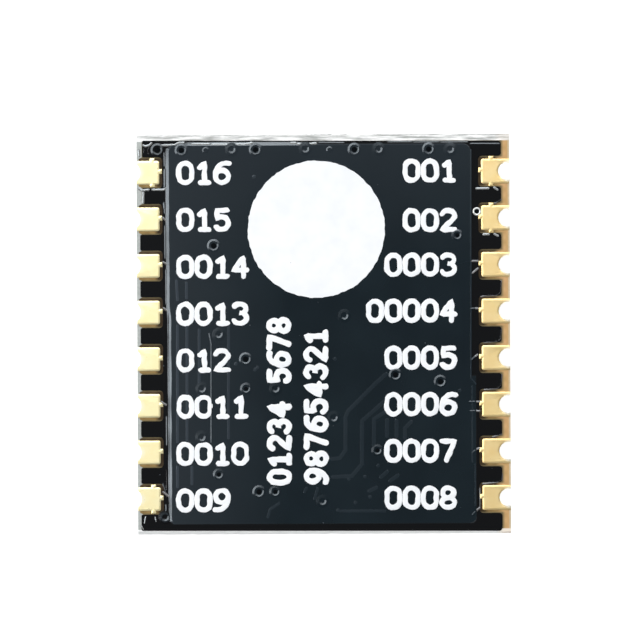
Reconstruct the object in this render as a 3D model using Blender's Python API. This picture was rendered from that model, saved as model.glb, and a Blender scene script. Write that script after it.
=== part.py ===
"""Long-range radio module: a castellated circuit board under a folded shield can.

The module lies on the flat roof of its can, as it does in the hand when its solder side is looked
at. The board's back, with its gold terminals, faces up. The origin is under the middle of the
board, on the plane of the roof, and +Y points to the end that carries the antenna socket.
"""

import math

import bmesh
import bpy
from mathutils import Matrix, Vector

MM = 0.001

# Bonded layers
FOIL = 0.035 * MM
MASK = 0.025 * MM
BOND_GAP = 0.005 * MM
SOLDER_LINE = 0.03 * MM

# Radio chip: leadless square package
CHIP_SIDE = 6.0 * MM
CHIP_HEIGHT = 0.85 * MM
CHIP_LANDS_PER_SIDE = 7
CHIP_LAND_PITCH = 0.65 * MM
CHIP_LAND_WIDTH = 0.3 * MM
CHIP_LAND_LENGTH = 0.4 * MM
CHIP_LAND_PROUD = 0.02 * MM
CHIP_LAND_HEIGHT = 0.2 * MM
CHIP_DIMPLE_RADIUS = 0.3 * MM
CHIP_DIMPLE_DEPTH = 0.06 * MM
CHIP_DIMPLE_INSET = 0.75 * MM
CHIP_EDGE = 0.05 * MM

# Reference crystal: ceramic tray with a seam-welded lid
CRYSTAL_LENGTH = 3.2 * MM
CRYSTAL_WIDTH = 2.5 * MM
CRYSTAL_TRAY_HEIGHT = 0.42 * MM
CRYSTAL_LID_HEIGHT = 0.25 * MM
CRYSTAL_LID_INSET = 0.2 * MM
CRYSTAL_NOTCH = 0.25 * MM

# Antenna switch: six-legged moulded package
SWITCH_LENGTH = 2.0 * MM
SWITCH_WIDTH = 1.25 * MM
SWITCH_HEIGHT = 0.9 * MM
SWITCH_STANDOFF = 0.06 * MM
SWITCH_DRAFT = 0.06 * MM
SWITCH_LEG_WIDTH = 0.22 * MM
SWITCH_LEG_THICKNESS = 0.12 * MM
SWITCH_LEG_PITCH = 0.65 * MM
SWITCH_LEGS_PER_SIDE = 3
SWITCH_LEG_REACH = 0.425 * MM
SWITCH_KNEE = 0.14 * MM
SWITCH_SPAN = SWITCH_WIDTH + 2.0 * SWITCH_LEG_REACH

# Chip parts, all one footprint: length, width, and the length of each end cap
CHIP_PART_LENGTH = 1.0 * MM
CHIP_PART_WIDTH = 0.5 * MM
CHIP_PART_CAP = 0.24 * MM
CAPACITOR_HEIGHT = 0.5 * MM
RESISTOR_HEIGHT = 0.35 * MM
INDUCTOR_HEIGHT = 0.55 * MM
CAPACITOR_WAIST = 0.015 * MM
RESISTOR_WAIST = 0.02 * MM
INDUCTOR_WAIST = 0.07 * MM

# Room under the can, across the board: wall, filters, matching parts, chip, pull-ups, wall
FILTER_ROOM = 0.25 * MM
LADDER_ROOM = 0.75 * MM
CHIP_LEFT_ROOM = 0.7 * MM
CHIP_RIGHT_ROOM = 0.85 * MM
PULL_UP_ROOM = 0.65 * MM
INSIDE_WIDTH = (
    FILTER_ROOM + CHIP_PART_LENGTH + LADDER_ROOM + CHIP_PART_LENGTH + CHIP_LEFT_ROOM
    + CHIP_SIDE + CHIP_RIGHT_ROOM + CHIP_PART_LENGTH + PULL_UP_ROOM
)

# Room under the can, along the board: wall, crystal, chip, decoupling parts, wall
CRYSTAL_ROOM = 0.15 * MM
CHIP_LOWER_ROOM = 0.4 * MM
CHIP_UPPER_ROOM = 0.8 * MM
DECOUPLING_ROOM = 1.15 * MM
INSIDE_LENGTH = (
    CRYSTAL_ROOM + CRYSTAL_WIDTH + CHIP_LOWER_ROOM + CHIP_SIDE + CHIP_UPPER_ROOM
    + CHIP_PART_LENGTH + DECOUPLING_ROOM
)

# Shield can: one blank of tinned steel, folded down on four sides
CAN_SHEET = 0.2 * MM
CAN_HEIGHT = 2.16 * MM
CAN_WIDTH = INSIDE_WIDTH + 2.0 * CAN_SHEET
CAN_LENGTH = INSIDE_LENGTH + 2.0 * CAN_SHEET
CAN_BEND = 0.15 * MM
CAN_CORNER_SLIT = 0.06 * MM
FOOT_DEPTH = 0.28 * MM
FOOT_NOTCH = 1.3 * MM
LAND_MARGIN = 0.12 * MM

# Miniature coaxial antenna socket, beside the can
SOCKET_BASE = 2.6 * MM
SOCKET_BASE_HEIGHT = 0.35 * MM
SOCKET_BASE_CORNER = 0.2 * MM
SOCKET_HEIGHT = 1.25 * MM
SHELL_RADIUS = 1.0 * MM
SHELL_WALL = 0.13 * MM
SHELL_SKIRT = 0.18 * MM
SHELL_GROOVE = 0.06 * MM
SHELL_GROOVE_SLOPE = 0.12 * MM
SHELL_GROOVE_HEIGHT = 0.16 * MM
SHELL_RIM = 0.06 * MM
SHELL_FOOT_REACH = SOCKET_BASE / 2.0 + 0.25 * MM
SHELL_FOOT_WIDTH = 0.9 * MM
STRAP = 0.12 * MM
STRAP_LAP = 0.04 * MM
CONTACT_RADIUS = 0.25 * MM
CONTACT_HEIGHT = 1.0 * MM
CONTACT_TAB_WIDTH = 0.44 * MM
CONTACT_TAB_REACH = SOCKET_BASE / 2.0 + 0.2 * MM
SOCKET_FIT = 0.02 * MM

# Board: glass-epoxy laminate, as large as the can, the socket and the terminals need
CAN_SIDE_MARGIN = 1.7 * MM
CAN_BOTTOM_MARGIN = 0.65 * MM
SOCKET_TOP_MARGIN = 0.7 * MM
SOCKET_CAN_ROOM = 0.65 * MM
SOCKET_SIDE_MARGIN = 2.7 * MM
BOARD_WIDTH = CAN_WIDTH + 2.0 * CAN_SIDE_MARGIN
BOARD_LENGTH = CAN_BOTTOM_MARGIN + CAN_LENGTH + SOCKET_CAN_ROOM + SOCKET_BASE + SOCKET_TOP_MARGIN
BOARD_THICKNESS = 0.9 * MM
SCORE_DEPTH = 0.3 * MM
SCORE_RUNOUT = 0.19 * MM

# The copper and the drilling lie a little off the middle of the routed outline
PATTERN_SHIFT = -0.12 * MM

# Castellated terminals, spread evenly down both sides
PINS_PER_SIDE = 8
PIN_END_MARGIN = 0.5 * MM
PIN_PITCH = (BOARD_LENGTH - 2.0 * PIN_END_MARGIN) / PINS_PER_SIDE
PAD_LENGTH = 1.1 * MM
PAD_HEIGHT = 1.06 * MM
PAD_CORNER = 0.08 * MM
HOLE_RADIUS = 0.37 * MM
PLATING = 0.035 * MM
STUB_WIDTH = 0.2 * MM
STUB_LENGTH = 0.115 * MM
STUB_OFFSET = 0.05 * MM
GROUND_PINS = (1, 2, 9, 16)

# Solder mask
MASK_OPENING = 0.13 * MM
MASK_SIDE_PULLBACK = 0.215 * MM
MASK_END_PULLBACK = 0.02 * MM
TONGUE_CORNER = 0.2 * MM
OPENING_CORNER = 0.16 * MM
MASK_SKIRT = 0.06 * MM
MASK_CREST = 0.02 * MM

# Copper planes: how far each border lies inside the nominal outline
BACK_PLANE_LEFT = 1.45 * MM
BACK_PLANE_RIGHT = 1.6 * MM
BACK_PLANE_RIGHT_STEP = 0.2 * MM
BACK_PLANE_STEP_PLACE = -1.82 * MM
FRONT_PLANE_SIDE = 1.4 * MM
PLANE_TOP = 0.38 * MM
PLANE_BOTTOM = 0.45 * MM
PLANE_CORNER = 0.25 * MM

# Places in the front face's frame
CAN_CENTRE_Y = (CAN_LENGTH - BOARD_LENGTH) / 2.0 + CAN_BOTTOM_MARGIN
INSIDE_LEFT = -INSIDE_WIDTH / 2.0
INSIDE_RIGHT = INSIDE_WIDTH / 2.0
INSIDE_BOTTOM = CAN_CENTRE_Y - INSIDE_LENGTH / 2.0
INSIDE_TOP = CAN_CENTRE_Y + INSIDE_LENGTH / 2.0
FILTER_X = INSIDE_LEFT + FILTER_ROOM + CHIP_PART_LENGTH / 2.0
MATCHING_X = FILTER_X + CHIP_PART_LENGTH + LADDER_ROOM
CHIP_X = MATCHING_X + CHIP_PART_LENGTH / 2.0 + CHIP_LEFT_ROOM + CHIP_SIDE / 2.0
PULL_UP_X = INSIDE_RIGHT - PULL_UP_ROOM - CHIP_PART_LENGTH / 2.0
CRYSTAL_Y = INSIDE_BOTTOM + CRYSTAL_ROOM + CRYSTAL_WIDTH / 2.0
CHIP_Y = CRYSTAL_Y + CRYSTAL_WIDTH / 2.0 + CHIP_LOWER_ROOM + CHIP_SIDE / 2.0
DECOUPLING_Y = INSIDE_TOP - DECOUPLING_ROOM - CHIP_PART_LENGTH / 2.0
CRYSTAL_SIDE_ROOM = 0.8 * MM
CRYSTAL_X = INSIDE_RIGHT - CRYSTAL_SIDE_ROOM - CRYSTAL_LENGTH / 2.0
SWITCH_SIDE_ROOM = 0.9 * MM
SWITCH_UPPER_ROOM = 0.7 * MM
SWITCH_X = INSIDE_LEFT + SWITCH_SIDE_ROOM + SWITCH_LENGTH / 2.0
SWITCH_Y = INSIDE_TOP - SWITCH_UPPER_ROOM - SWITCH_SPAN / 2.0
SUPPLY_SIDE_ROOM = 1.05 * MM
SUPPLY_X = INSIDE_LEFT + SUPPLY_SIDE_ROOM + CHIP_PART_WIDTH / 2.0
SOCKET_X = SOCKET_SIDE_MARGIN + (SOCKET_BASE - BOARD_WIDTH) / 2.0
SOCKET_Y = BOARD_LENGTH / 2.0 - SOCKET_TOP_MARGIN - SOCKET_BASE / 2.0
FOOT_NOTCH_PLACE = -SOCKET_X

# Rows of chip parts, and how far apart they stand
LADDER_ROWS = 6
LADDER_PITCH = CHIP_SIDE * 0.15
DECOUPLING_COUNT = 5
DECOUPLING_PITCH = CHIP_SIDE / 4.0
PULL_UP_COUNT = 4
PULL_UP_PITCH = CHIP_SIDE / 5.0
SUPPLY_COUNT = 3
SUPPLY_PITCH = 1.6 * MM

# Feed line from the antenna terminal, past the socket, to the switch under the can
FEED_WIDTH = 0.35 * MM
FEED_GAP = 0.2 * MM
FEED_RUN_X = CAN_SIDE_MARGIN - BOARD_WIDTH / 2.0
FEED_END_Y = SWITCH_Y + SWITCH_SPAN / 2.0
FEED_MITRE = 0.3 * MM

# Smoothness of round shapes
HOLE_STEPS = 10
CORNER_STEPS = 3
BEND_STEPS = 4
SOCKET_STEPS = 28
CONTACT_STEPS = 14
MERGE = 0.0001 * MM
QUARTER_TURN = math.pi / 2.0
FULL_TURN = math.pi * 2.0

# Levels above either face of the laminate
LAND_LEVEL = BOND_GAP + FOIL
MASK_LEVEL = BOND_GAP + MASK
PLANE_LEVEL = LAND_LEVEL + BOND_GAP + MASK
PART_LEVEL = PLANE_LEVEL + SOLDER_LINE
FOOT_LEVEL = LAND_LEVEL + SOLDER_LINE

# Heights above the plane that the can's roof lies on
FRONT_FACE_Z = CAN_HEIGHT + FOOT_LEVEL
BACK_FACE_Z = FRONT_FACE_Z + BOARD_THICKNESS


def clear_scene():
    """Start from an empty scene."""
    for item in list(bpy.data.objects):
        bpy.data.objects.remove(item, do_unlink=True)


def finish(name, colour, roughness, metallic):
    """A plain surface finish."""
    material = bpy.data.materials.new(name)
    material.use_nodes = True
    shader = material.node_tree.nodes["Principled BSDF"]
    shader.inputs["Base Color"].default_value = (*colour, 1.0)
    shader.inputs["Roughness"].default_value = roughness
    shader.inputs["Metallic"].default_value = metallic
    material.diffuse_color = (*colour, 1.0)
    return material


def frame_empty(name, location, rotation=(0.0, 0.0, 0.0)):
    """A frame that pieces are placed in."""
    empty = bpy.data.objects.new(name, None)
    empty.location = location
    empty.rotation_euler = rotation
    bpy.context.scene.collection.objects.link(empty)
    return empty


def mesh_from(shape, name):
    """Turn a bmesh into a mesh with its faces pointing out."""
    bmesh.ops.remove_doubles(shape, verts=shape.verts, dist=MERGE)
    bmesh.ops.recalc_face_normals(shape, faces=shape.faces)
    mesh = bpy.data.meshes.new(name)
    shape.to_mesh(mesh)
    shape.free()
    return mesh


def piece(name, mesh, material, parent, location=(0.0, 0.0, 0.0), turn=0.0):
    """One sub-part, placed in its parent's frame."""
    item = bpy.data.objects.new(name, mesh)
    item.parent = parent
    item.location = location
    item.rotation_euler = (0.0, 0.0, turn)
    if not mesh.materials:
        mesh.materials.append(material)
    bpy.context.scene.collection.objects.link(item)
    return item


def cutter(name, shape, parent, location=(0.0, 0.0, 0.0)):
    """A tool body, which is no sub-part."""
    item = bpy.data.objects.new(name, mesh_from(shape, name))
    item.parent = parent
    item.location = location
    item.hide_render = True
    item.display_type = "WIRE"
    bpy.context.scene.collection.objects.link(item)
    return item


def combine(item, other, operation):
    """Cut one body by another, or join it to another."""
    modifier = item.modifiers.new(f"{operation.lower()}_{other.name}", "BOOLEAN")
    modifier.object = other
    modifier.operation = operation
    modifier.solver = "EXACT"


def round_off(item, degrees=35.0):
    """Smooth shading with the sharp edges kept."""
    item.data.shade_smooth()
    item.data.set_sharp_from_angle(angle=math.radians(degrees))


def arc_points(centre, radius, start, end, steps):
    """Points along an arc, both ends included, angles in radians."""
    points = []
    for step in range(steps + 1):
        angle = start + (end - start) * step / steps
        x = centre[0] + radius * math.cos(angle)
        y = centre[1] + radius * math.sin(angle)
        points.append((x, y))
    return points


def filleted(corners, steps=CORNER_STEPS):
    """An outline from (x, y, radius) corners, each rounded by its own radius."""
    points = []
    for index, (x, y, radius) in enumerate(corners):
        corner = Vector((x, y))
        if radius <= 0.0:
            points.append((x, y))
            continue
        before = (Vector(corners[index - 1][:2]) - corner).normalized()
        after = (Vector(corners[(index + 1) % len(corners)][:2]) - corner).normalized()
        half_angle = before.angle(after) / 2.0
        centre = corner + (before + after).normalized() * radius / math.sin(half_angle)
        reach = radius / math.tan(half_angle)
        first = corner + before * reach - centre
        last = corner + after * reach - centre
        start = math.atan2(first.y, first.x)
        sweep = (math.atan2(last.y, last.x) - start + math.pi) % FULL_TURN - math.pi
        points += arc_points(centre, radius, start, start + sweep, steps)
    return points


def rectangle(left, bottom, right, top, radius=0.0):
    """A rectangle with equal corners."""
    corners = ((left, bottom), (right, bottom), (right, top), (left, top))
    return filleted([(x, y, radius) for x, y in corners])


def extruded(outline, bottom, top):
    """A plate of the given outline between two levels."""
    shape = bmesh.new()
    corners = [shape.verts.new((x, y, bottom)) for x, y in outline]
    base = shape.faces.new(corners)
    raised = bmesh.ops.extrude_face_region(shape, geom=[base])["geom"]
    upper = [item for item in raised if isinstance(item, bmesh.types.BMVert)]
    bmesh.ops.translate(shape, verts=upper, vec=(0.0, 0.0, top - bottom))
    return shape


def tapered(lower_outline, bottom, upper_outline, top):
    """A plate whose sides slope between two outlines of as many points."""
    shape = bmesh.new()
    edges = []
    for outline, level in ((lower_outline, bottom), (upper_outline, top)):
        ring = [shape.verts.new((x, y, level)) for x, y in outline]
        face = shape.faces.new(ring)
        edges += list(face.edges)
    bmesh.ops.bridge_loops(shape, edges=edges)
    return shape


def merged(shapes):
    """Several closed shapes in one bmesh."""
    target = bmesh.new()
    for shape in shapes:
        mesh = bpy.data.meshes.new("passing")
        shape.to_mesh(mesh)
        shape.free()
        target.from_mesh(mesh)
        bpy.data.meshes.remove(mesh)
    return target


def turned(profile, steps):
    """A body of revolution about Z from (radius, height) points."""
    shape = bmesh.new()
    points = [shape.verts.new((radius, 0.0, height)) for radius, height in profile]
    edges = [shape.edges.new((a, b)) for a, b in zip(points, points[1:])]
    if profile[0][0] > 0.0:
        edges.append(shape.edges.new((points[-1], points[0])))
    bmesh.ops.spin(
        shape,
        geom=points + edges,
        cent=(0.0, 0.0, 0.0),
        axis=(0.0, 0.0, 1.0),
        angle=FULL_TURN,
        steps=steps,
        use_merge=True,
    )
    return shape


def moved(shape, x, y):
    """Shift a shape along the board."""
    bmesh.ops.translate(shape, verts=shape.verts, vec=(x, y, 0.0))
    return shape


def quarter_about(axis):
    """A quarter turn about one axis."""
    return Matrix.Rotation(QUARTER_TURN, 3, axis)


def rotated(shape, matrix):
    """Turn a shape about the origin."""
    bmesh.ops.rotate(shape, verts=shape.verts, cent=(0.0, 0.0, 0.0), matrix=matrix)
    return shape


def strip_outline(path, width):
    """The outline of a strip of even width along a path of straight runs."""
    points = [Vector(point) for point in path]
    left_side = []
    right_side = []
    for index, point in enumerate(points):
        before = points[max(index - 1, 0)]
        after = points[min(index + 1, len(points) - 1)]
        arriving = (point - before) if index else (after - point)
        leaving = (after - point) if index < len(points) - 1 else (point - before)
        first_normal = Vector((-arriving.y, arriving.x)).normalized()
        second_normal = Vector((-leaving.y, leaving.x)).normalized()
        mitre = (first_normal + second_normal).normalized()
        reach = width / 2.0 / mitre.dot(first_normal)
        left_side.append(point + mitre * reach)
        right_side.append(point - mitre * reach)
    return [(p.x, p.y) for p in right_side + left_side[::-1]]


def spread(count, pitch):
    """Evenly spaced places about zero, in rising order."""
    return [(index - (count - 1) / 2.0) * pitch for index in range(count)]


def row_places():
    """The heights of the pad rows, from the bottom row up."""
    return spread(PINS_PER_SIDE, PIN_PITCH)


def hole_arc(radius, edge):
    """The wall of an edge hole round the origin, from its upper mouth to its lower one."""
    mouth = math.acos(edge / radius)
    return arc_points((0.0, 0.0), radius, mouth, -mouth, HOLE_STEPS)


def pad_outline(edge, is_ground, offset):
    """A terminal's pad, with its edge hole and the stubs that join it to traces or the plane."""
    half = PAD_HEIGHT / 2.0
    stub = STUB_WIDTH / 2.0
    middle = (edge + PAD_LENGTH + HOLE_RADIUS) / 2.0
    corners = [(edge, -half, 0.0)]
    if is_ground:
        corners += [
            (middle - stub, -half, 0.0),
            (middle - stub, -half - STUB_LENGTH, 0.0),
            (middle + stub, -half - STUB_LENGTH, 0.0),
            (middle + stub, -half, 0.0),
        ]
    corners += [
        (PAD_LENGTH, -half, PAD_CORNER),
        (PAD_LENGTH, offset - stub, 0.0),
        (PAD_LENGTH + STUB_LENGTH, offset - stub, 0.0),
        (PAD_LENGTH + STUB_LENGTH, offset + stub, 0.0),
        (PAD_LENGTH, offset + stub, 0.0),
        (PAD_LENGTH, half, PAD_CORNER),
    ]
    if is_ground:
        corners += [
            (middle + stub, half, 0.0),
            (middle + stub, half + STUB_LENGTH, 0.0),
            (middle - stub, half + STUB_LENGTH, 0.0),
            (middle - stub, half, 0.0),
        ]
    corners.append((edge, half, 0.0))
    return filleted(corners) + hole_arc(HOLE_RADIUS, edge)


def laminate_shape():
    """The board's blank, scored half-way through along both snapped ends."""
    half_length = BOARD_LENGTH / 2.0
    section = [
        (-half_length + SCORE_RUNOUT, 0.0),
        (half_length - SCORE_RUNOUT, 0.0),
        (half_length, SCORE_DEPTH),
        (half_length, BOARD_THICKNESS - SCORE_DEPTH),
        (half_length - SCORE_RUNOUT, BOARD_THICKNESS),
        (-half_length + SCORE_RUNOUT, BOARD_THICKNESS),
        (-half_length, BOARD_THICKNESS - SCORE_DEPTH),
        (-half_length, SCORE_DEPTH),
    ]
    blank = extruded(section, -BOARD_WIDTH / 2.0, BOARD_WIDTH / 2.0)
    return rotated(blank, quarter_about("Z") @ quarter_about("X"))


def laminate_core_outline():
    """The space that the laminate takes between the terminals' plates, edge holes included."""
    radius = HOLE_RADIUS + PLATING
    beyond = BOARD_WIDTH / 2.0 + PAD_LENGTH
    outline = []
    for side, rows in ((1.0, row_places()), (-1.0, row_places()[::-1])):
        centre_x = side * BOARD_WIDTH / 2.0
        edge = PATTERN_SHIFT * side
        mouth = math.sqrt(radius ** 2 - edge ** 2)
        outline.append((side * beyond, -side * BOARD_LENGTH / 2.0))
        for row in rows:
            outline.append((side * beyond, row - side * mouth))
            wall = hole_arc(radius, edge)[::-1]
            outline += [(centre_x - side * x, row + side * y) for x, y in wall]
            outline.append((side * beyond, row + side * mouth))
        outline.append((side * beyond, side * BOARD_LENGTH / 2.0))
    return outline


def mask_outline():
    """Solder mask: tongues between the pads, open round each pad."""
    side_x = BOARD_WIDTH / 2.0 - MASK_SIDE_PULLBACK
    end_y = BOARD_LENGTH / 2.0 - SCORE_RUNOUT - MASK_END_PULLBACK
    inner_x = BOARD_WIDTH / 2.0 - PAD_LENGTH - MASK_OPENING
    half = PAD_HEIGHT / 2.0 + MASK_OPENING
    corners = []
    for side, rows in ((1.0, row_places()), (-1.0, row_places()[::-1])):
        corners.append((side * side_x, -side * end_y, TONGUE_CORNER))
        for row in rows:
            corners += [
                (side * side_x, row - side * half, TONGUE_CORNER),
                (side * inner_x, row - side * half, OPENING_CORNER),
                (side * inner_x, row + side * half, OPENING_CORNER),
                (side * side_x, row + side * half, TONGUE_CORNER),
            ]
        corners.append((side * side_x, side * end_y, TONGUE_CORNER))
    return filleted(corners)


def back_plane_outline(margin):
    """The copper plane on the back, whose right border steps out below the middle."""
    left = -(BOARD_WIDTH / 2.0 - BACK_PLANE_LEFT) - margin
    right = BOARD_WIDTH / 2.0 - BACK_PLANE_RIGHT + margin
    lower_right = right + BACK_PLANE_RIGHT_STEP
    step_y = BACK_PLANE_STEP_PLACE + margin
    top = BOARD_LENGTH / 2.0 - PLANE_TOP + margin
    bottom = -(BOARD_LENGTH / 2.0 - PLANE_BOTTOM) - margin
    return filleted([
        (left, bottom, PLANE_CORNER),
        (lower_right, bottom, PLANE_CORNER),
        (lower_right, step_y, 0.0),
        (right, step_y, 0.0),
        (right, top, PLANE_CORNER),
        (left, top, PLANE_CORNER),
    ])


def front_plane_outline(margin):
    """The copper plane on the front, under the can and the socket."""
    half_width = BOARD_WIDTH / 2.0 - FRONT_PLANE_SIDE + margin
    top = BOARD_LENGTH / 2.0 - PLANE_TOP + margin
    bottom = -(BOARD_LENGTH / 2.0 - PLANE_BOTTOM) - margin
    return rectangle(-half_width, bottom, half_width, top, PLANE_CORNER)


def feed_path():
    """The middle of the feed line, from the first terminal to the antenna switch."""
    start_x = -(BOARD_WIDTH / 2.0 - PAD_LENGTH - STUB_LENGTH - BOND_GAP)
    start_y = row_places()[-1] + STUB_OFFSET
    turn_y = SOCKET_Y - CONTACT_TAB_REACH + CONTACT_TAB_WIDTH / 2.0
    return [
        (start_x, start_y),
        (FEED_RUN_X - FEED_MITRE / 2.0, start_y),
        (FEED_RUN_X, start_y - FEED_MITRE),
        (FEED_RUN_X, turn_y + FEED_MITRE),
        (FEED_RUN_X + FEED_MITRE, turn_y),
        (SOCKET_X - FEED_MITRE, turn_y),
        (SOCKET_X, turn_y - FEED_MITRE),
        (SOCKET_X, FEED_END_Y),
    ]


def solder_mask(name, material, parent, plane_outline, recesses, openings):
    """A mask that steps up over the copper plane and covers its edge with a slope."""
    sheet = mesh_from(extruded(mask_outline(), BOND_GAP, MASK_LEVEL), name)
    mask = piece(name, sheet, material, parent)
    skirt = plane_outline(BOND_GAP + MASK_SKIRT)
    crest = plane_outline(BOND_GAP + MASK_CREST)
    start = BOND_GAP + MASK / 2.0
    plateau = cutter(f"{name}_plateau", tapered(skirt, start, crest, PLANE_LEVEL), parent)
    combine(mask, plateau, "UNION")
    for recess in recesses:
        combine(mask, recess, "DIFFERENCE")
    for opening in openings:
        combine(mask, opening, "DIFFERENCE")
    return mask


def can_wall_places():
    """The can's four sides: outward direction, distance of the wall and its half length."""
    slit = CAN_SHEET + CAN_CORNER_SLIT
    return (
        (Vector((1.0, 0.0, 0.0)), CAN_WIDTH / 2.0, CAN_LENGTH / 2.0 - slit),
        (Vector((-1.0, 0.0, 0.0)), CAN_WIDTH / 2.0, CAN_LENGTH / 2.0 - slit),
        (Vector((0.0, 1.0, 0.0)), CAN_LENGTH / 2.0, CAN_WIDTH / 2.0),
        (Vector((0.0, -1.0, 0.0)), CAN_LENGTH / 2.0, CAN_WIDTH / 2.0),
    )


def shield_can_shape():
    """Roof, bends and walls, drawn with the roof up and the feet at level zero."""
    outer_bend = CAN_BEND + CAN_SHEET
    half_x = CAN_WIDTH / 2.0 - outer_bend
    half_y = CAN_LENGTH / 2.0 - outer_bend
    roof = rectangle(-half_x, -half_y, half_x, half_y)
    shape = extruded(roof, CAN_HEIGHT - CAN_SHEET, CAN_HEIGHT)
    bmesh.ops.recalc_face_normals(shape, faces=shape.faces)
    rims = [
        max(shape.faces, key=lambda face: face.normal.dot(outward))
        for outward, _, _ in can_wall_places()
    ]
    for rim, (outward, distance, half_length) in zip(rims, can_wall_places()):
        along = Vector((0.0, 0.0, 1.0)).cross(outward)
        bend_centre = outward * (distance - outer_bend)
        bend_centre.z = CAN_HEIGHT - outer_bend
        bent = bmesh.ops.spin(
            shape,
            geom=[rim] + list(rim.edges) + list(rim.verts),
            cent=bend_centre,
            axis=along,
            angle=QUARTER_TURN,
            steps=BEND_STEPS,
        )["geom_last"]
        end = next(item for item in bent if isinstance(item, bmesh.types.BMFace))
        rim_geometry = [end] + list(end.edges) + list(end.verts)
        wall = bmesh.ops.extrude_face_region(shape, geom=rim_geometry)["geom"]
        foot = [item for item in wall if isinstance(item, bmesh.types.BMVert)]
        for corner in foot:
            side = math.copysign(1.0, corner.co.dot(along))
            corner.co += along * (side * half_length - corner.co.dot(along))
            corner.co.z = 0.0
    return shape


def foot_notches():
    """Blocks that part each wall's lower edge into three feet."""
    blocks = []
    depth = CAN_SHEET * 2.0
    for outward, distance, _ in can_wall_places():
        along = Vector((0.0, 0.0, 1.0)).cross(outward)
        for place in (-FOOT_NOTCH_PLACE, FOOT_NOTCH_PLACE):
            half = outward * depth + along * FOOT_NOTCH / 2.0
            middle = outward * distance + along * place
            outline = rectangle(
                middle.x - abs(half.x), middle.y - abs(half.y),
                middle.x + abs(half.x), middle.y + abs(half.y),
            )
            blocks.append(extruded(outline, -FOOT_DEPTH, FOOT_DEPTH))
    return merged(blocks)


def foot_land_windows(walls):
    """Mask windows over the lands that the feet of these walls are soldered to."""
    windows = []
    inner = CAN_SHEET + LAND_MARGIN
    centre_limit = FOOT_NOTCH_PLACE - FOOT_NOTCH / 2.0
    for outward, distance, half_length in walls:
        along = Vector((0.0, 0.0, 1.0)).cross(outward)
        side_start = FOOT_NOTCH_PLACE + FOOT_NOTCH / 2.0
        spans = (
            (-half_length, -side_start),
            (-centre_limit, centre_limit),
            (side_start, half_length),
        )
        for start, end in spans:
            near = outward * (distance - inner) + along * (start - LAND_MARGIN)
            far = outward * (distance + LAND_MARGIN) + along * (end + LAND_MARGIN)
            low = (min(near.x, far.x), min(near.y, far.y) + CAN_CENTRE_Y)
            high = (max(near.x, far.x), max(near.y, far.y) + CAN_CENTRE_Y)
            windows.append((*low, *high))
    return windows


def socket_windows():
    """Mask windows over the lands of the antenna socket."""
    half_foot = SHELL_FOOT_WIDTH / 2.0 + LAND_MARGIN
    half_tab = CONTACT_TAB_WIDTH / 2.0 + LAND_MARGIN
    inner = SOCKET_BASE / 2.0 - LAND_MARGIN
    outer = SHELL_FOOT_REACH + LAND_MARGIN
    tab_outer = CONTACT_TAB_REACH + LAND_MARGIN
    windows = []
    for side in (-1.0, 1.0):
        edges = sorted((SOCKET_X + side * inner, SOCKET_X + side * outer))
        windows.append((edges[0], SOCKET_Y - half_foot, edges[1], SOCKET_Y + half_foot))
    windows.append((SOCKET_X - half_tab, SOCKET_Y - tab_outer, SOCKET_X + half_tab, SOCKET_Y - inner))
    return windows


def socket_shell_shape():
    """The socket's outer contact: a turned ring with a snap groove, on two strap feet."""
    base = SOCKET_BASE_HEIGHT + SOCKET_FIT
    inner = SHELL_RADIUS - SHELL_WALL
    groove = SHELL_RADIUS - SHELL_GROOVE
    groove_bottom = base + SHELL_SKIRT + SHELL_GROOVE_SLOPE
    groove_top = groove_bottom + SHELL_GROOVE_HEIGHT
    rim = SOCKET_HEIGHT - SHELL_RIM
    return turned([
        (inner, base),
        (SHELL_RADIUS, base),
        (SHELL_RADIUS, base + SHELL_SKIRT),
        (groove, groove_bottom),
        (groove, groove_top),
        (SHELL_RADIUS, groove_top + SHELL_GROOVE_SLOPE),
        (SHELL_RADIUS, rim),
        (SHELL_RADIUS - SHELL_RIM, SOCKET_HEIGHT),
        (inner + SHELL_RIM / 2.0, SOCKET_HEIGHT),
        (inner, rim),
    ], SOCKET_STEPS)


def socket_strap_shapes():
    """The two feet: out from the ring over the base, down its side and out along the board."""
    reach = SOCKET_BASE / 2.0 + SOCKET_FIT
    top = SOCKET_BASE_HEIGHT + SOCKET_FIT
    start = SHELL_RADIUS - SHELL_WALL / 2.0
    half = SHELL_FOOT_WIDTH / 2.0
    profile = [
        (start, top + STRAP_LAP),
        (start, top + STRAP),
        (reach + STRAP, top + STRAP),
        (reach + STRAP, STRAP),
        (SHELL_FOOT_REACH, STRAP),
        (SHELL_FOOT_REACH, 0.0),
        (reach, 0.0),
        (reach, top + STRAP_LAP),
    ]
    straps = []
    for turn in (0.0, math.pi):
        strap = extruded(profile, -half, half)
        straps.append(rotated(strap, Matrix.Rotation(turn, 3, "Z") @ quarter_about("X")))
    return straps


def socket_insulator_shape():
    """The moulded base, with a bore for the centre contact and a channel for its tab."""
    half = SOCKET_BASE / 2.0
    outline = rectangle(-half, -half, half, half, SOCKET_BASE_CORNER)
    return extruded(outline, 0.0, SOCKET_BASE_HEIGHT)


def socket_contact_shape():
    """The centre contact: a turned pin with a rounded tip."""
    tip = CONTACT_RADIUS / 2.0
    dome = arc_points((CONTACT_RADIUS - tip, CONTACT_HEIGHT - tip), tip, 0.0, QUARTER_TURN,
                      CORNER_STEPS)
    return turned([(0.0, 0.0), (CONTACT_RADIUS, 0.0)] + dome + [(0.0, CONTACT_HEIGHT)], CONTACT_STEPS)


def contact_tab_shape(clearance):
    """The flat tab that brings the signal out under the socket's base."""
    half = CONTACT_TAB_WIDTH / 2.0 + clearance
    outline = rectangle(-half, -CONTACT_TAB_REACH - clearance, half, CONTACT_RADIUS / 2.0 + clearance)
    return extruded(outline, -clearance, STRAP + clearance)


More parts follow.
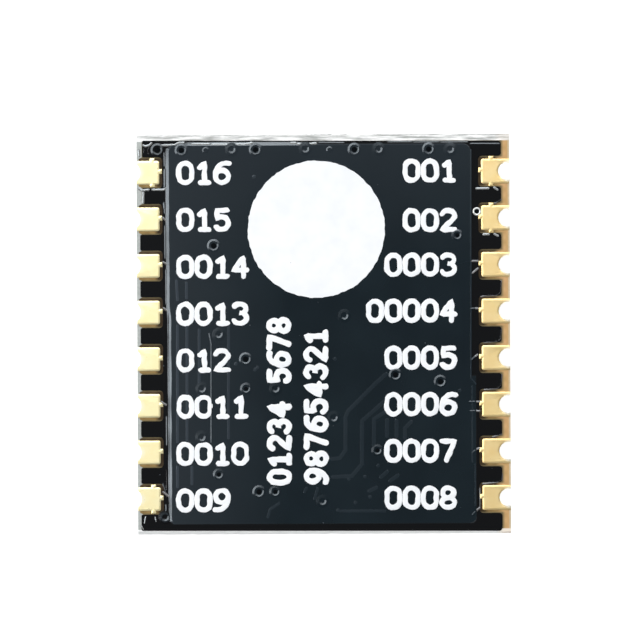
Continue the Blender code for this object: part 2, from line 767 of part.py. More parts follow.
def chip_shape():
    """The radio chip's moulded body, with its upper edges broken."""
    half = CHIP_SIDE / 2.0
    body = extruded(rectangle(-half, -half, half, half), 0.0, CHIP_HEIGHT)
    upper = [
        edge for edge in body.edges
        if min(corner.co.z for corner in edge.verts) > CHIP_HEIGHT - CHIP_EDGE
    ]
    bmesh.ops.bevel(
        body, geom=upper, affect="EDGES", offset=CHIP_EDGE, segments=1, profile=0.5, material=-1
    )
    return body


def chip_lands_shape():
    """The chip's plated lands, seen along its lower edges."""
    half = CHIP_SIDE / 2.0
    lands = []
    for quarter in range(4):
        for place in spread(CHIP_LANDS_PER_SIDE, CHIP_LAND_PITCH):
            low = place - CHIP_LAND_WIDTH / 2.0
            outline = rectangle(
                half - CHIP_LAND_LENGTH, low, half + CHIP_LAND_PROUD, low + CHIP_LAND_WIDTH
            )
            land = extruded(outline, -CHIP_LAND_PROUD, CHIP_LAND_HEIGHT)
            lands.append(rotated(land, Matrix.Rotation(QUARTER_TURN * quarter, 3, "Z")))
    return merged(lands)


def crystal_tray_outline():
    """The crystal's ceramic tray, with a quarter-round notch in each corner."""
    half_x = CRYSTAL_LENGTH / 2.0
    half_y = CRYSTAL_WIDTH / 2.0
    outline = []
    corners = ((half_x, -half_y), (half_x, half_y), (-half_x, half_y), (-half_x, -half_y))
    for quarter, corner in enumerate(corners):
        start = math.pi + QUARTER_TURN * quarter
        outline += arc_points(corner, CRYSTAL_NOTCH, start, start - QUARTER_TURN, CORNER_STEPS)
    return outline


def crystal_lid_shape():
    """The crystal's metal lid, let a little way into the tray."""
    half_x = CRYSTAL_LENGTH / 2.0 - CRYSTAL_LID_INSET
    half_y = CRYSTAL_WIDTH / 2.0 - CRYSTAL_LID_INSET
    outline = rectangle(-half_x, -half_y, half_x, half_y, CRYSTAL_NOTCH)
    top = CRYSTAL_TRAY_HEIGHT + CRYSTAL_LID_HEIGHT
    return extruded(outline, CRYSTAL_TRAY_HEIGHT / 2.0, top)


def switch_body_shape():
    """The switch's moulded body, drafted both ways from its parting line."""
    half_x = SWITCH_LENGTH / 2.0
    half_y = SWITCH_WIDTH / 2.0
    waist = rectangle(-half_x, -half_y, half_x, half_y)
    end = rectangle(
        -half_x + SWITCH_DRAFT, -half_y + SWITCH_DRAFT, half_x - SWITCH_DRAFT, half_y - SWITCH_DRAFT
    )
    shape = bmesh.new()
    levels = ((end, SWITCH_STANDOFF), (waist, SWITCH_HEIGHT / 2.0), (end, SWITCH_HEIGHT))
    rings = []
    for outline, level in levels:
        rings.append([shape.verts.new((x, y, level)) for x, y in outline])
    lower = shape.faces.new(rings[0])
    upper = shape.faces.new(rings[2])
    waist_edges = [
        shape.edges.new((rings[1][index], rings[1][index - 1])) for index in range(len(waist))
    ]
    bmesh.ops.bridge_loops(shape, edges=list(lower.edges) + waist_edges)
    bmesh.ops.bridge_loops(shape, edges=list(upper.edges) + waist_edges)
    return shape


def switch_legs_shape():
    """Six gull-wing legs."""
    knee = SWITCH_WIDTH / 2.0 + SWITCH_KNEE
    level = SWITCH_HEIGHT / 2.0
    inner = SWITCH_WIDTH / 2.0 - SWITCH_LEG_THICKNESS
    thick = SWITCH_LEG_THICKNESS
    profile = [
        (inner, level),
        (inner, level - thick),
        (knee - thick / 2.0, level - thick),
        (knee, 0.0),
        (SWITCH_SPAN / 2.0, 0.0),
        (SWITCH_SPAN / 2.0, thick),
        (knee + thick, thick),
        (knee + thick / 2.0, level),
    ]
    legs = []
    for turn in (0.0, math.pi):
        for place in spread(SWITCH_LEGS_PER_SIDE, SWITCH_LEG_PITCH):
            leg = extruded(profile, -SWITCH_LEG_WIDTH / 2.0, SWITCH_LEG_WIDTH / 2.0)
            upright = quarter_about("Z") @ quarter_about("X")
            leg = rotated(leg, Matrix.Rotation(turn, 3, "Z") @ upright)
            legs.append(moved(leg, place, 0.0))
    return merged(legs)


def chip_part_shape(height, waist):
    """A chip part: a ceramic body between two plated end caps that stand proud of it."""
    half = CHIP_PART_LENGTH / 2.0
    shoulder = half - CHIP_PART_CAP
    stations = (
        (-half, 0.0), (-shoulder, 0.0), (-shoulder, waist),
        (shoulder, waist), (shoulder, 0.0), (half, 0.0),
    )
    shape = bmesh.new()
    rings = []
    for x, inset in stations:
        low_y = -CHIP_PART_WIDTH / 2.0 + inset
        corners = ((low_y, inset), (-low_y, inset), (-low_y, height - inset), (low_y, height - inset))
        rings.append([shape.verts.new((x, y, z)) for y, z in corners])
    shape.faces.new(rings[0])
    shape.faces.new(rings[-1])
    for first, second in zip(rings, rings[1:]):
        for index in range(4):
            shape.faces.new((first[index - 1], first[index], second[index], second[index - 1]))
    return shape


def chip_part_places():
    """Each chip part's name, kind, place and turn, in the front face's frame."""
    places = []
    for row, y in enumerate(spread(LADDER_ROWS, LADDER_PITCH)):
        kind = "capacitor" if row % 2 else "inductor"
        places.append((f"filter_{kind}", kind, FILTER_X, CHIP_Y + y, 0.0))
        places.append((f"matching_{kind}", kind, MATCHING_X, CHIP_Y + y, 0.0))
    for x in spread(DECOUPLING_COUNT, DECOUPLING_PITCH):
        places.append(("decoupling_capacitor", "capacitor", CHIP_X + x, DECOUPLING_Y, QUARTER_TURN))
    for y in spread(PULL_UP_COUNT, PULL_UP_PITCH):
        places.append(("pull_up_resistor", "resistor", PULL_UP_X, CHIP_Y + y, 0.0))
    for column in range(SUPPLY_COUNT):
        x = SUPPLY_X + column * SUPPLY_PITCH
        places.append(("supply_capacitor", "capacitor", x, CRYSTAL_Y, QUARTER_TURN))
    return places


clear_scene()

# Frames: each face of the laminate has one, with +Z pointing away from the board
drilling = frame_empty("drilling", (PATTERN_SHIFT, 0.0, FRONT_FACE_Z))
back_face = frame_empty("back_face", (PATTERN_SHIFT, 0.0, BACK_FACE_Z))
front_face = frame_empty("front_face", (PATTERN_SHIFT, 0.0, FRONT_FACE_Z), (0.0, math.pi, 0.0))

# Laminate: scored at both ends, then drilled along both sides
laminate_finish = finish("laminate", (0.62, 0.50, 0.27), 0.6, 0.0)
laminate = piece(
    "circuit_board",
    mesh_from(laminate_shape(), "circuit_board"),
    laminate_finish,
    drilling,
    (-PATTERN_SHIFT, 0.0, 0.0),
)

drills = []
for side in (-1.0, 1.0):
    for row in row_places():
        radius = HOLE_RADIUS + PLATING + BOND_GAP
        circle = arc_points((0.0, 0.0), radius, 0.0, FULL_TURN, HOLE_STEPS * 2)[:-1]
        drill = extruded(circle, -BOARD_THICKNESS, BOARD_THICKNESS * 2.0)
        drills.append(moved(drill, side * BOARD_WIDTH / 2.0, row))
combine(laminate, cutter("drills", merged(drills), drilling), "DIFFERENCE")

# Terminals: pads on both faces, joined by the plating of the half hole between them
gold = finish("gold_plating", (0.85, 0.62, 0.28), 0.25, 1.0)
core = cutter(
    "laminate_core",
    extruded(laminate_core_outline(), -BOND_GAP, BOARD_THICKNESS + BOND_GAP),
    drilling,
)
rows_down = row_places()[::-1]
right_column = [(1.0, row) for row in rows_down]
left_column = [(-1.0, row) for row in row_places()]
for pin, (side, row) in enumerate(right_column + left_column, start=1):
    edge = PATTERN_SHIFT * side
    outline = pad_outline(edge, pin in GROUND_PINS, -side * STUB_OFFSET)
    name = f"terminal_{pin:02d}"
    plates = mesh_from(extruded(outline, -LAND_LEVEL, BOARD_THICKNESS + LAND_LEVEL), name)
    place = (side * BOARD_WIDTH / 2.0, row, 0.0)
    turn = math.pi if side > 0.0 else 0.0
    terminal = piece(name, plates, gold, drilling, place, turn)
    combine(terminal, core, "DIFFERENCE")

# Copper planes under the mask
copper = finish("copper_foil", (0.72, 0.38, 0.22), 0.35, 1.0)
back_plane_shape = extruded(back_plane_outline(0.0), BOND_GAP, LAND_LEVEL)
piece("back_copper_plane", mesh_from(back_plane_shape, "back_copper_plane"), copper, back_face)
front_plane_shape = extruded(front_plane_outline(0.0), BOND_GAP, LAND_LEVEL)
front_plane = piece(
    "front_copper_plane", mesh_from(front_plane_shape, "front_copper_plane"), copper, front_face
)
keepout = strip_outline(feed_path(), FEED_WIDTH + 2.0 * FEED_GAP)
combine(front_plane, cutter("feed_keepout", extruded(keepout, -FOIL, FOIL * 3.0), front_face),
        "DIFFERENCE")
feed = extruded(strip_outline(feed_path(), FEED_WIDTH), BOND_GAP, LAND_LEVEL)
piece("antenna_feed_line", mesh_from(feed, "antenna_feed_line"), copper, front_face)

# Solder mask on the back
black_mask = finish("black_solder_mask", (0.015, 0.018, 0.024), 0.25, 0.0)
back_recess = cutter(
    "back_plane_recess",
    extruded(back_plane_outline(BOND_GAP), -FOIL, LAND_LEVEL + BOND_GAP),
    back_face,
)
solder_mask("back_solder_mask", black_mask, back_face, back_plane_outline, [back_recess], [])

# Solder mask on the front, with windows over the lands of the can and the socket
front_recess = cutter(
    "front_plane_recess",
    extruded(front_plane_outline(BOND_GAP), -FOIL, LAND_LEVEL + BOND_GAP),
    front_face,
)
can_walls = can_wall_places()
window_sets = {
    "side_foot_windows": foot_land_windows(can_walls[:2]),
    "end_foot_windows": foot_land_windows(can_walls[2:]),
    "socket_windows": socket_windows(),
}
window_cutters = []
for name, windows in window_sets.items():
    blocks = [extruded(rectangle(*window), -FOIL, PLANE_LEVEL * 2.0) for window in windows]
    window_cutters.append(cutter(name, merged(blocks), front_face))
solder_mask(
    "front_solder_mask", black_mask, front_face, front_plane_outline, [front_recess], window_cutters
)

# Shield can
tinplate = finish("tinned_steel", (0.72, 0.72, 0.70), 0.32, 1.0)
can = piece(
    "shield_can",
    mesh_from(shield_can_shape(), "shield_can"),
    tinplate,
    front_face,
    (0.0, CAN_CENTRE_Y, FOOT_LEVEL),
)
combine(can, cutter("foot_notches", foot_notches(), front_face, can.location), "DIFFERENCE")
round_off(can)

# Antenna socket
socket_place = (SOCKET_X, SOCKET_Y, FOOT_LEVEL)
shell = piece("socket_shell", mesh_from(socket_shell_shape(), "socket_shell"), gold, front_face,
              socket_place)
for number, strap in enumerate(socket_strap_shapes()):
    combine(shell, cutter(f"socket_strap_{number}", strap, front_face, socket_place), "UNION")
round_off(shell)
socket_white = finish("socket_moulding", (0.80, 0.77, 0.68), 0.5, 0.0)
insulator = piece("socket_insulator", mesh_from(socket_insulator_shape(), "socket_insulator"),
                  socket_white, front_face, socket_place)
bore_outline = arc_points((0.0, 0.0), CONTACT_RADIUS + SOCKET_FIT, 0.0, FULL_TURN, CONTACT_STEPS)
bore = extruded(bore_outline[:-1], -SOCKET_BASE_HEIGHT, SOCKET_BASE_HEIGHT * 2.0)
combine(insulator, cutter("contact_bore", bore, front_face, socket_place), "DIFFERENCE")
channel = cutter("tab_channel", contact_tab_shape(SOCKET_FIT), front_face, socket_place)
combine(insulator, channel, "DIFFERENCE")
contact = piece("socket_contact", mesh_from(socket_contact_shape(), "socket_contact"), gold,
                front_face, socket_place)
combine(contact, cutter("contact_tab", contact_tab_shape(0.0), front_face, socket_place), "UNION")
round_off(contact)

# Radio chip
moulding = finish("chip_moulding", (0.03, 0.03, 0.032), 0.5, 0.0)
chip_place = (CHIP_X, CHIP_Y, PART_LEVEL + CHIP_LAND_PROUD)
chip = piece("radio_chip", mesh_from(chip_shape(), "radio_chip"), moulding, front_face, chip_place)
combine(chip, cutter("chip_lands", chip_lands_shape(), front_face, chip_place), "UNION")
dimple_outline = arc_points((0.0, 0.0), CHIP_DIMPLE_RADIUS, 0.0, FULL_TURN, CONTACT_STEPS)
dimple = extruded(dimple_outline[:-1], CHIP_HEIGHT - CHIP_DIMPLE_DEPTH, CHIP_HEIGHT * 2.0)
dimple_inset = CHIP_SIDE / 2.0 - CHIP_DIMPLE_INSET
combine(chip, cutter("chip_dimple", moved(dimple, -dimple_inset, dimple_inset), front_face, chip_place),
        "DIFFERENCE")

# Reference crystal
ceramic = finish("crystal_case", (0.70, 0.66, 0.52), 0.35, 0.6)
crystal_place = (CRYSTAL_X, CRYSTAL_Y, PART_LEVEL)
tray = extruded(crystal_tray_outline(), 0.0, CRYSTAL_TRAY_HEIGHT)
crystal = piece("reference_crystal", mesh_from(tray, "reference_crystal"), ceramic, front_face,
                crystal_place)
combine(crystal, cutter("crystal_lid", crystal_lid_shape(), front_face, crystal_place), "UNION")

# Antenna switch
switch_place = (SWITCH_X, SWITCH_Y, PART_LEVEL)
switch = piece("antenna_switch", mesh_from(switch_body_shape(), "antenna_switch"), moulding,
               front_face, switch_place)
combine(switch, cutter("switch_legs", switch_legs_shape(), front_face, switch_place), "UNION")

# Chip parts
part_kinds = {
    "capacitor": (CAPACITOR_HEIGHT, CAPACITOR_WAIST, finish("capacitor", (0.45, 0.33, 0.20), 0.5, 0.0)),
    "resistor": (RESISTOR_HEIGHT, RESISTOR_WAIST, finish("resistor", (0.04, 0.04, 0.045), 0.5, 0.0)),
    "inductor": (INDUCTOR_HEIGHT, INDUCTOR_WAIST, finish("inductor", (0.55, 0.58, 0.60), 0.4, 0.0)),
}
part_meshes = {}
counts = {}
for label, kind, x, y, turn in chip_part_places():
    height, waist, material = part_kinds[kind]
    if kind not in part_meshes:
        part_meshes[kind] = mesh_from(chip_part_shape(height, waist), kind)
    counts[label] = counts.get(label, 0) + 1
    name = f"{label}_{counts[label]:02d}"
    piece(name, part_meshes[kind], material, front_face, (x, y, PART_LEVEL), turn)
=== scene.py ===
# %% [markdown]
# # A castellated radio module, seen from its solder side
# The module is a black circuit board, 16 by 17 mm, that is soldered to a larger board by the gold
# half holes along its sides. It lies here on the flat roof of its shield can, so the side that is
# normally hidden looks up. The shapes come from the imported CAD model; this lesson dresses them:
# rounded edges, the relief of the lacquer, the printed ink, and a material for each finish.

import math

import bmesh
import bpy
from mathutils import Matrix, Vector, noise


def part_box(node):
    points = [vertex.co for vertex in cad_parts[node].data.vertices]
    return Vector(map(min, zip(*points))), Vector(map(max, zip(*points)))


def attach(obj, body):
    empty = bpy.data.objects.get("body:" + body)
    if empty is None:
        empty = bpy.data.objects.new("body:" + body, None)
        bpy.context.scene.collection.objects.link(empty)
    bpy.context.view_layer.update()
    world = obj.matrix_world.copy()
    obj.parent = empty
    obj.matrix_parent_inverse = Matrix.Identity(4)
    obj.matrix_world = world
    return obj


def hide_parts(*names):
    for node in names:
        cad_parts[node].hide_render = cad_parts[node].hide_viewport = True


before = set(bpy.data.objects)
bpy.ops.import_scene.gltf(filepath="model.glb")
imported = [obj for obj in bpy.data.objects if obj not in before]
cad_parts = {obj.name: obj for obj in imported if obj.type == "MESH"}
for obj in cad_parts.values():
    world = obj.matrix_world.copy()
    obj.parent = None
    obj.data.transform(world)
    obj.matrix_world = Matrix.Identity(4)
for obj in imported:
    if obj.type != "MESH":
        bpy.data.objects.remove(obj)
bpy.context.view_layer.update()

MM = 0.001
LACQUER = 0.03 * MM
board_low, board_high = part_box("circuit_board")
BACK_FACE = board_high.z
PLATEAU_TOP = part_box("back_solder_mask")[1].z
TONGUE_TOP = BACK_FACE + LACQUER
print("board, mm", [round(v / MM, 2) for v in (*board_low, *board_high)])
print("nodes", len(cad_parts))

# %% [markdown]
# ## Finding places on the board
# Most of the fine relief was measured on the photograph, so it is easiest to write its places as
# picture columns and rows and turn them into metres in one function. The terminals are 46.6 pixels
# apart and their pitch is 2 mm, which gives the scale. The board leans a little in the picture, and
# the same lean is given to the camera later.

# %% From the photograph's pixels to the board
PICTURE = 640
PIXELS_PER_MM = 23.32
BOARD_MIDDLE = (323.7, 335.1)
LEAN = math.radians(0.28)


def spot(column, row):
    """The place on the board, in metres, of a column and row of the photograph."""
    offset = Vector((column - BOARD_MIDDLE[0], BOARD_MIDDLE[1] - row)) / PIXELS_PER_MM * MM
    offset.rotate(Matrix.Rotation(-LEAN, 2))
    return offset


picture_middle = spot(PICTURE / 2, PICTURE / 2)
print("picture's middle on the board, mm:", [round(v / MM, 3) for v in picture_middle])

# %% [markdown]
# ## Camera
# The photograph looks straight down with no visible perspective, as a long lens does. The camera
# stands 300 mm above the board, and its lens is chosen so that the picture is as wide as 640 pixels
# of 1/23.32 mm. It is rolled by the same small angle that the board leans by.

# %% Camera
CAMERA_HEIGHT = 300 * MM
SENSOR = 36.0

camera_data = bpy.data.cameras.new("long_lens")
camera_data.sensor_width = SENSOR
camera_data.lens = SENSOR * CAMERA_HEIGHT / (PICTURE / PIXELS_PER_MM * MM)
camera_data.clip_start = 10 * MM
camera_data.clip_end = 2.0
camera = bpy.data.objects.new("long_lens", camera_data)
camera.location = (*picture_middle, PLATEAU_TOP + CAMERA_HEIGHT)
camera.rotation_euler = (0.0, 0.0, -LEAN)
bpy.context.scene.collection.objects.link(camera)
bpy.context.scene.camera = camera
bpy.context.scene.view_settings.view_transform = "Standard"
print("lens, mm:", round(camera_data.lens, 1))

# %% [markdown]
# ## Wiring nodes
# The room, the finishes and the effects that they share are all trees of nodes. Each of these small
# functions adds a node and wires it up. They take sockets or plain numbers, and a socket knows the
# tree that it belongs to, so the tree isn't passed along.

# %% Helpers for node trees
def feed(socket, value):
    """Give an input its value: another node's output, or a constant."""
    if isinstance(value, bpy.types.NodeSocket):
        socket.id_data.links.new(value, socket)
    else:
        socket.default_value = value


def maths(operation, first, second=0.0):
    """The result of a Math node, where at least one of the values is a socket."""
    known = first if isinstance(first, bpy.types.NodeSocket) else second
    node = known.id_data.nodes.new("ShaderNodeMath")
    node.operation = operation
    feed(node.inputs[0], first)
    feed(node.inputs[1], second)
    return node.outputs["Value"]


def times(first, second):
    """The product of two values."""
    return maths("MULTIPLY", first, second)


def ramp(value, low, high, start=0.0, end=1.0):
    """Spread the part of a value between two limits over 0 to 1, or between other ends."""
    node = value.id_data.nodes.new("ShaderNodeMapRange")
    limits = {"Value": value, "From Min": low, "From Max": high, "To Min": start, "To Max": end}
    for name, limit in limits.items():
        feed(node.inputs[name], limit)
    return node.outputs["Result"]


def axes(position):
    """The X, Y and Z of a position."""
    node = position.id_data.nodes.new("ShaderNodeSeparateXYZ")
    feed(node.inputs["Vector"], position)
    return node.outputs


print("node helpers ready")

# %% [markdown]
# ## Light
# Gold and glossy lacquer show what is round them more than what shines on them. A row of soft boxes
# stands in an arc, 32 degrees off the vertical, from the left round to the top and, dimmer, on to the
# upper right; it starts a little below the left so that walls facing left are lit over their width.
# Slopes that lean towards them at half that angle mirror them into the camera, so the left and upper
# edges of the relief light up without gaps, while flat lacquer mirrors only the dark ceiling. The walls
# on the same side are pale and the others dim, which leaves the lower and right-hand edges darker.

# %% Lamps
LAMP_DISTANCE = 200 * MM
LAMP_TILT = math.radians(32.0)
LAMP_SIZE = 38 * MM
LAMP_ARC = (
    (46, 0.018), (67, 0.032), (88, 0.048), (109, 0.048),
    (130, 0.048), (151, 0.048), (172, 0.048), (193, 0.048),
)

for azimuth, watts in LAMP_ARC:
    lamp = bpy.data.lights.new(f"soft_box_{azimuth}", "AREA")
    lamp.shape = "SQUARE"
    lamp.size = LAMP_SIZE
    lamp.energy = watts
    item = bpy.data.objects.new(f"soft_box_{azimuth}", lamp)
    around = Matrix.Rotation(math.radians(azimuth), 3, "Z")
    towards = around @ Vector((math.sin(LAMP_TILT), 0.0, math.cos(LAMP_TILT)))
    item.location = towards * LAMP_DISTANCE + Vector((0.0, 0.0, BACK_FACE))
    item.rotation_euler = towards.to_track_quat("Z", "Y").to_euler()
    bpy.context.scene.collection.objects.link(item)
    print(item.name, [round(v / MM) for v in item.location])

# %% Room
PALE_WALL = 1.0
DIM_WALL = 0.80
CEILING = 0.12
CEILING_START = (0.20, 0.85)
PALE_SIDE = (-0.7, 0.7, 0.0)
COOL_WHITE = (0.95, 0.98, 1.0, 1.0)
WHITE = (1.0, 1.0, 1.0, 1.0)

world = bpy.data.worlds.new("grey_room")
bpy.context.scene.world = world
world.use_nodes = True
room = world.node_tree
room.nodes.clear()
direction = room.nodes.new("ShaderNodeTexCoord").outputs["Generated"]
facing = room.nodes.new("ShaderNodeVectorMath")
facing.operation = "DOT_PRODUCT"
feed(facing.inputs[0], direction)
feed(facing.inputs[1], PALE_SIDE)
blend = room.nodes.new("ShaderNodeMix")
feed(blend.inputs["Factor"], ramp(axes(direction)["Z"], *CEILING_START))
feed(blend.inputs["A"], ramp(facing.outputs["Value"], -1.0, 1.0, DIM_WALL, PALE_WALL))
feed(blend.inputs["B"], CEILING)
room_light = room.nodes.new("ShaderNodeBackground")
feed(room_light.inputs["Color"], COOL_WHITE)
feed(room_light.inputs["Strength"], blend.outputs["Result"])
backdrop = room.nodes.new("ShaderNodeBackground")
feed(backdrop.inputs["Color"], WHITE)
chosen = room.nodes.new("ShaderNodeMixShader")
feed(chosen.inputs["Fac"], room.nodes.new("ShaderNodeLightPath").outputs["Is Camera Ray"])
feed(chosen.inputs[1], room_light.outputs["Background"])
feed(chosen.inputs[2], backdrop.outputs["Background"])
feed(room.nodes.new("ShaderNodeOutputWorld").inputs["Surface"], chosen.outputs["Shader"])
print("room:", PALE_WALL, DIM_WALL, CEILING)

# %% [markdown]
# ## Floor
# The module lies on white paper. The paper takes the soft shadow of the module, and a little light
# of its own, given only to the camera and to mirror-like surfaces, lifts it to white.

# %% Floor
FLOOR_SIZE = 0.6
PAPER_GLOW = 0.7
PAPER_TONE = (0.86, 0.86, 0.86, 1.0)

floor_shape = bmesh.new()
bmesh.ops.create_grid(floor_shape, x_segments=1, y_segments=1, size=FLOOR_SIZE)
floor_mesh = bpy.data.meshes.new("paper")
floor_shape.to_mesh(floor_mesh)
floor_shape.free()
floor = bpy.data.objects.new("paper", floor_mesh)
bpy.context.scene.collection.objects.link(floor)

paper = bpy.data.materials.new("white_paper")
paper.use_nodes = True
sheet = paper.node_tree.nodes["Principled BSDF"]
rays = paper.node_tree.nodes.new("ShaderNodeLightPath").outputs
seen = maths("MAXIMUM", rays["Is Camera Ray"], rays["Is Glossy Ray"])
feed(sheet.inputs["Base Color"], PAPER_TONE)
feed(sheet.inputs["Roughness"], 0.9)
feed(sheet.inputs["Emission Color"], WHITE)
feed(sheet.inputs["Emission Strength"], times(seen, PAPER_GLOW))
floor_mesh.materials.append(paper)
print("floor", FLOOR_SIZE, "m")

# %% [markdown]
# ## Effects that several finishes share
# Each of these is a small node group with named inputs and outputs, built once. `grain` gives a
# fine uneven height and a slow change of tone. `specks` picks out scattered dots, which serve as
# dust on lacquer and pits in metal. `streaks` gives long thin lines across the board. All read a
# position in metres, so their sizes are set in details per millimetre. `hole_place` tells how far a
# point lies from the nearest half hole, and how far above its middle.

# %% Shared node groups
PITCH = 2.0 * MM
PER_MM = 1.0 / MM


def new_group(name, inputs, outputs):
    """A node group with a position and number sockets: the group, what it is given and its results."""
    group = bpy.data.node_groups.new(name, "ShaderNodeTree")
    group.interface.new_socket("Position", in_out="INPUT", socket_type="NodeSocketVector")
    for socket, value in inputs.items():
        made = group.interface.new_socket(socket, in_out="INPUT", socket_type="NodeSocketFloat")
        made.default_value = value
    for socket in outputs:
        group.interface.new_socket(socket, in_out="OUTPUT", socket_type="NodeSocketFloat")
    return group, group.nodes.new("NodeGroupInput").outputs, group.nodes.new("NodeGroupOutput").inputs


def noise_value(position, scale, detail=2.0):
    """A noise texture's value at a scale given as a socket, in details per metre."""
    node = position.id_data.nodes.new("ShaderNodeTexNoise")
    for name, value in (("Detail", detail), ("Vector", position), ("Scale", scale)):
        feed(node.inputs[name], value)
    return node.outputs["Fac"]


grain, given, result = new_group("grain", {"Details per mm": 10.0}, ("Height", "Tone"))
fine_scale = times(given["Details per mm"], PER_MM)
slow = noise_value(given["Position"], times(fine_scale, 0.12))
feed(result["Height"], noise_value(given["Position"], fine_scale))
feed(result["Tone"], ramp(slow, 0.3, 0.7))

specks, given, result = new_group("specks", {"Details per mm": 3.0, "Size": 0.12}, ("Mask",))
cells = specks.nodes.new("ShaderNodeTexVoronoi")
feed(cells.inputs["Vector"], given["Position"])
feed(cells.inputs["Scale"], times(given["Details per mm"], PER_MM))
lot = specks.nodes.new("ShaderNodeSeparateColor")
feed(lot.inputs["Color"], cells.outputs["Color"])
reach = times(lot.outputs["Red"], given["Size"])
feed(result["Mask"], maths("LESS_THAN", cells.outputs["Distance"], reach))

streaks, given, result = new_group("streaks", {"Details per mm": 14.0, "Stretch": 0.04}, ("Height", "Tone"))
x, y, z = axes(given["Position"])
drawn = streaks.nodes.new("ShaderNodeCombineXYZ")
for socket, value in zip(drawn.inputs, (times(x, given["Stretch"]), y, z)):
    feed(socket, value)
line_value = noise_value(drawn.outputs["Vector"], times(given["Details per mm"], PER_MM), 3.0)
feed(result["Height"], line_value)
feed(result["Tone"], ramp(line_value, 0.35, 0.65))

hole_place, given, result = new_group("hole_place", {}, ("Above", "Distance"))
x, y = axes(given["Position"])[:2]
share = maths("SUBTRACT", maths("FRACT", maths("DIVIDE", y, PITCH)), 0.5)
above = times(share, PITCH)
beside = maths("SUBTRACT", board_high.x, maths("ABSOLUTE", x))
squares = maths("ADD", times(beside, beside), times(above, above))
feed(result["Above"], above)
feed(result["Distance"], maths("SQRT", squares))
print("groups", [group.name for group in (grain, specks, streaks, hole_place)])


# %% Helpers for materials
def new_material(name, roughness, metallic=0.0):
    """A Principled material, with its shader and the object's own position."""
    material = bpy.data.materials.new(name)
    material.use_nodes = True
    shader = material.node_tree.nodes["Principled BSDF"]
    feed(shader.inputs["Roughness"], roughness)
    feed(shader.inputs["Metallic"], metallic)
    return material, shader, material.node_tree.nodes.new("ShaderNodeTexCoord").outputs["Object"]


def place_group(group, position, **values):
    """What a shared group puts out at a position, with the material's own values."""
    node = position.id_data.nodes.new("ShaderNodeGroup")
    node.node_tree = group
    feed(node.inputs["Position"], position)
    for name, value in values.items():
        feed(node.inputs[name.replace("_", " ")], value)
    return node.outputs


def mixed(factor, first, second):
    """A colour between two colours, each a socket or red, green and blue."""
    node = factor.id_data.nodes.new("ShaderNodeMix")
    node.data_type = "RGBA"
    feed(node.inputs[0], factor)
    for socket, colour in ((node.inputs[6], first), (node.inputs[7], second)):
        feed(socket, colour if isinstance(colour, bpy.types.NodeSocket) else (*colour, 1.0))
    return node.outputs[2]


def bumped(shader, height, depth):
    """Lead a height into the shader's normal, with the depth in metres that it stands for."""
    node = height.id_data.nodes.new("ShaderNodeBump")
    for name, value in (("Distance", depth), ("Strength", 1.0), ("Height", height)):
        feed(node.inputs[name], value)
    earlier = shader.inputs["Normal"].links
    if earlier:
        feed(node.inputs["Normal"], earlier[0].from_socket)
    feed(shader.inputs["Normal"], node.outputs["Normal"])


print("material helpers ready")


# %% [markdown]
# ## Black solder mask
# The mask is a glossy lacquer over copper and glass cloth. Over copper it looks blue-black, and over
# bare laminate it is darker and warmer. Height tells the two apart, because the mask is raised where
# copper lies under it. A painted sheen, standing in for the reflection of the soft boxes, pales it a
# little towards the left and the upper end. A faint orange-peel surface and some dust keep it from
# looking like glass. Where it is stretched thin over the edge of a trace, more of the copper shows
# through.

# %% Black solder mask
# Spans over which a painted sheen, standing for the soft boxes' reflection, pales the lacquer
LEFT_SHEEN_SPAN = (-1.5 * MM, -6.6 * MM)
TOP_SHEEN_SPAN = (3.0 * MM, 8.2 * MM)
RAISED = (PLATEAU_TOP - 0.03 * MM, PLATEAU_TOP - 0.015 * MM)


def lacquer_finish(name, shine, over, low, left_sheen, top_sheen):
    """A glossy black lacquer: two close tones over copper with a painted sheen of the lamps, and one beside
    it.
    """
    material, shader, position = new_material(name, 0.18)
    feed(shader.inputs["Specular IOR Level"], shine)
    feed(shader.inputs["Specular Tint"], (0.84, 0.93, 1.0, 1.0))
    x, y, z = axes(position)
    peel = place_group(grain, position, Details_per_mm=3.5)
    over_copper = mixed(peel["Tone"], *over)
    # Painted sheen: paler towards the left and the upper end
    over_copper = mixed(times(ramp(x, *LEFT_SHEEN_SPAN), 0.8), over_copper, left_sheen)
    over_copper = mixed(times(ramp(y, *TOP_SHEEN_SPAN), 0.7), over_copper, top_sheen)
    colour = mixed(ramp(z, *RAISED), low, over_copper)
    dust = place_group(specks, position, Details_per_mm=1.6, Size=0.05)
    colour = mixed(dust["Mask"], colour, (0.06, 0.07, 0.08))
    feed(shader.inputs["Base Color"], colour)
    bumped(shader, peel["Height"], 0.0012 * MM)
    return material


BODY_TONES = ((0.006, 0.011, 0.015), (0.009, 0.016, 0.021))
BARE_TONE = (0.0036, 0.0034, 0.0038)
# Pale tones of the painted sheen follow, for the body here and for the thin lacquer below
PAINTED_SHEENS = ((0.024, 0.030, 0.036), (0.021, 0.027, 0.033))
THIN_TONES = ((0.013, 0.020, 0.026), (0.018, 0.026, 0.033))
# Pale grey of the thin lacquer's low parts: painted highlight on the grey lips, which the terminal exits
# share
THIN_LOW = (0.13, 0.12, 0.115)
# Pale grey base of the lips, curls and crest lines: painted highlight
LIP_LOW = (0.22, 0.225, 0.22)
THIN_PAINTED_SHEENS = ((0.045, 0.055, 0.068), (0.034, 0.042, 0.050))
# Near-black of the wells over the holes: painted shade down the holes
WELL_SHADE_TONE = (0.003, 0.004, 0.005)

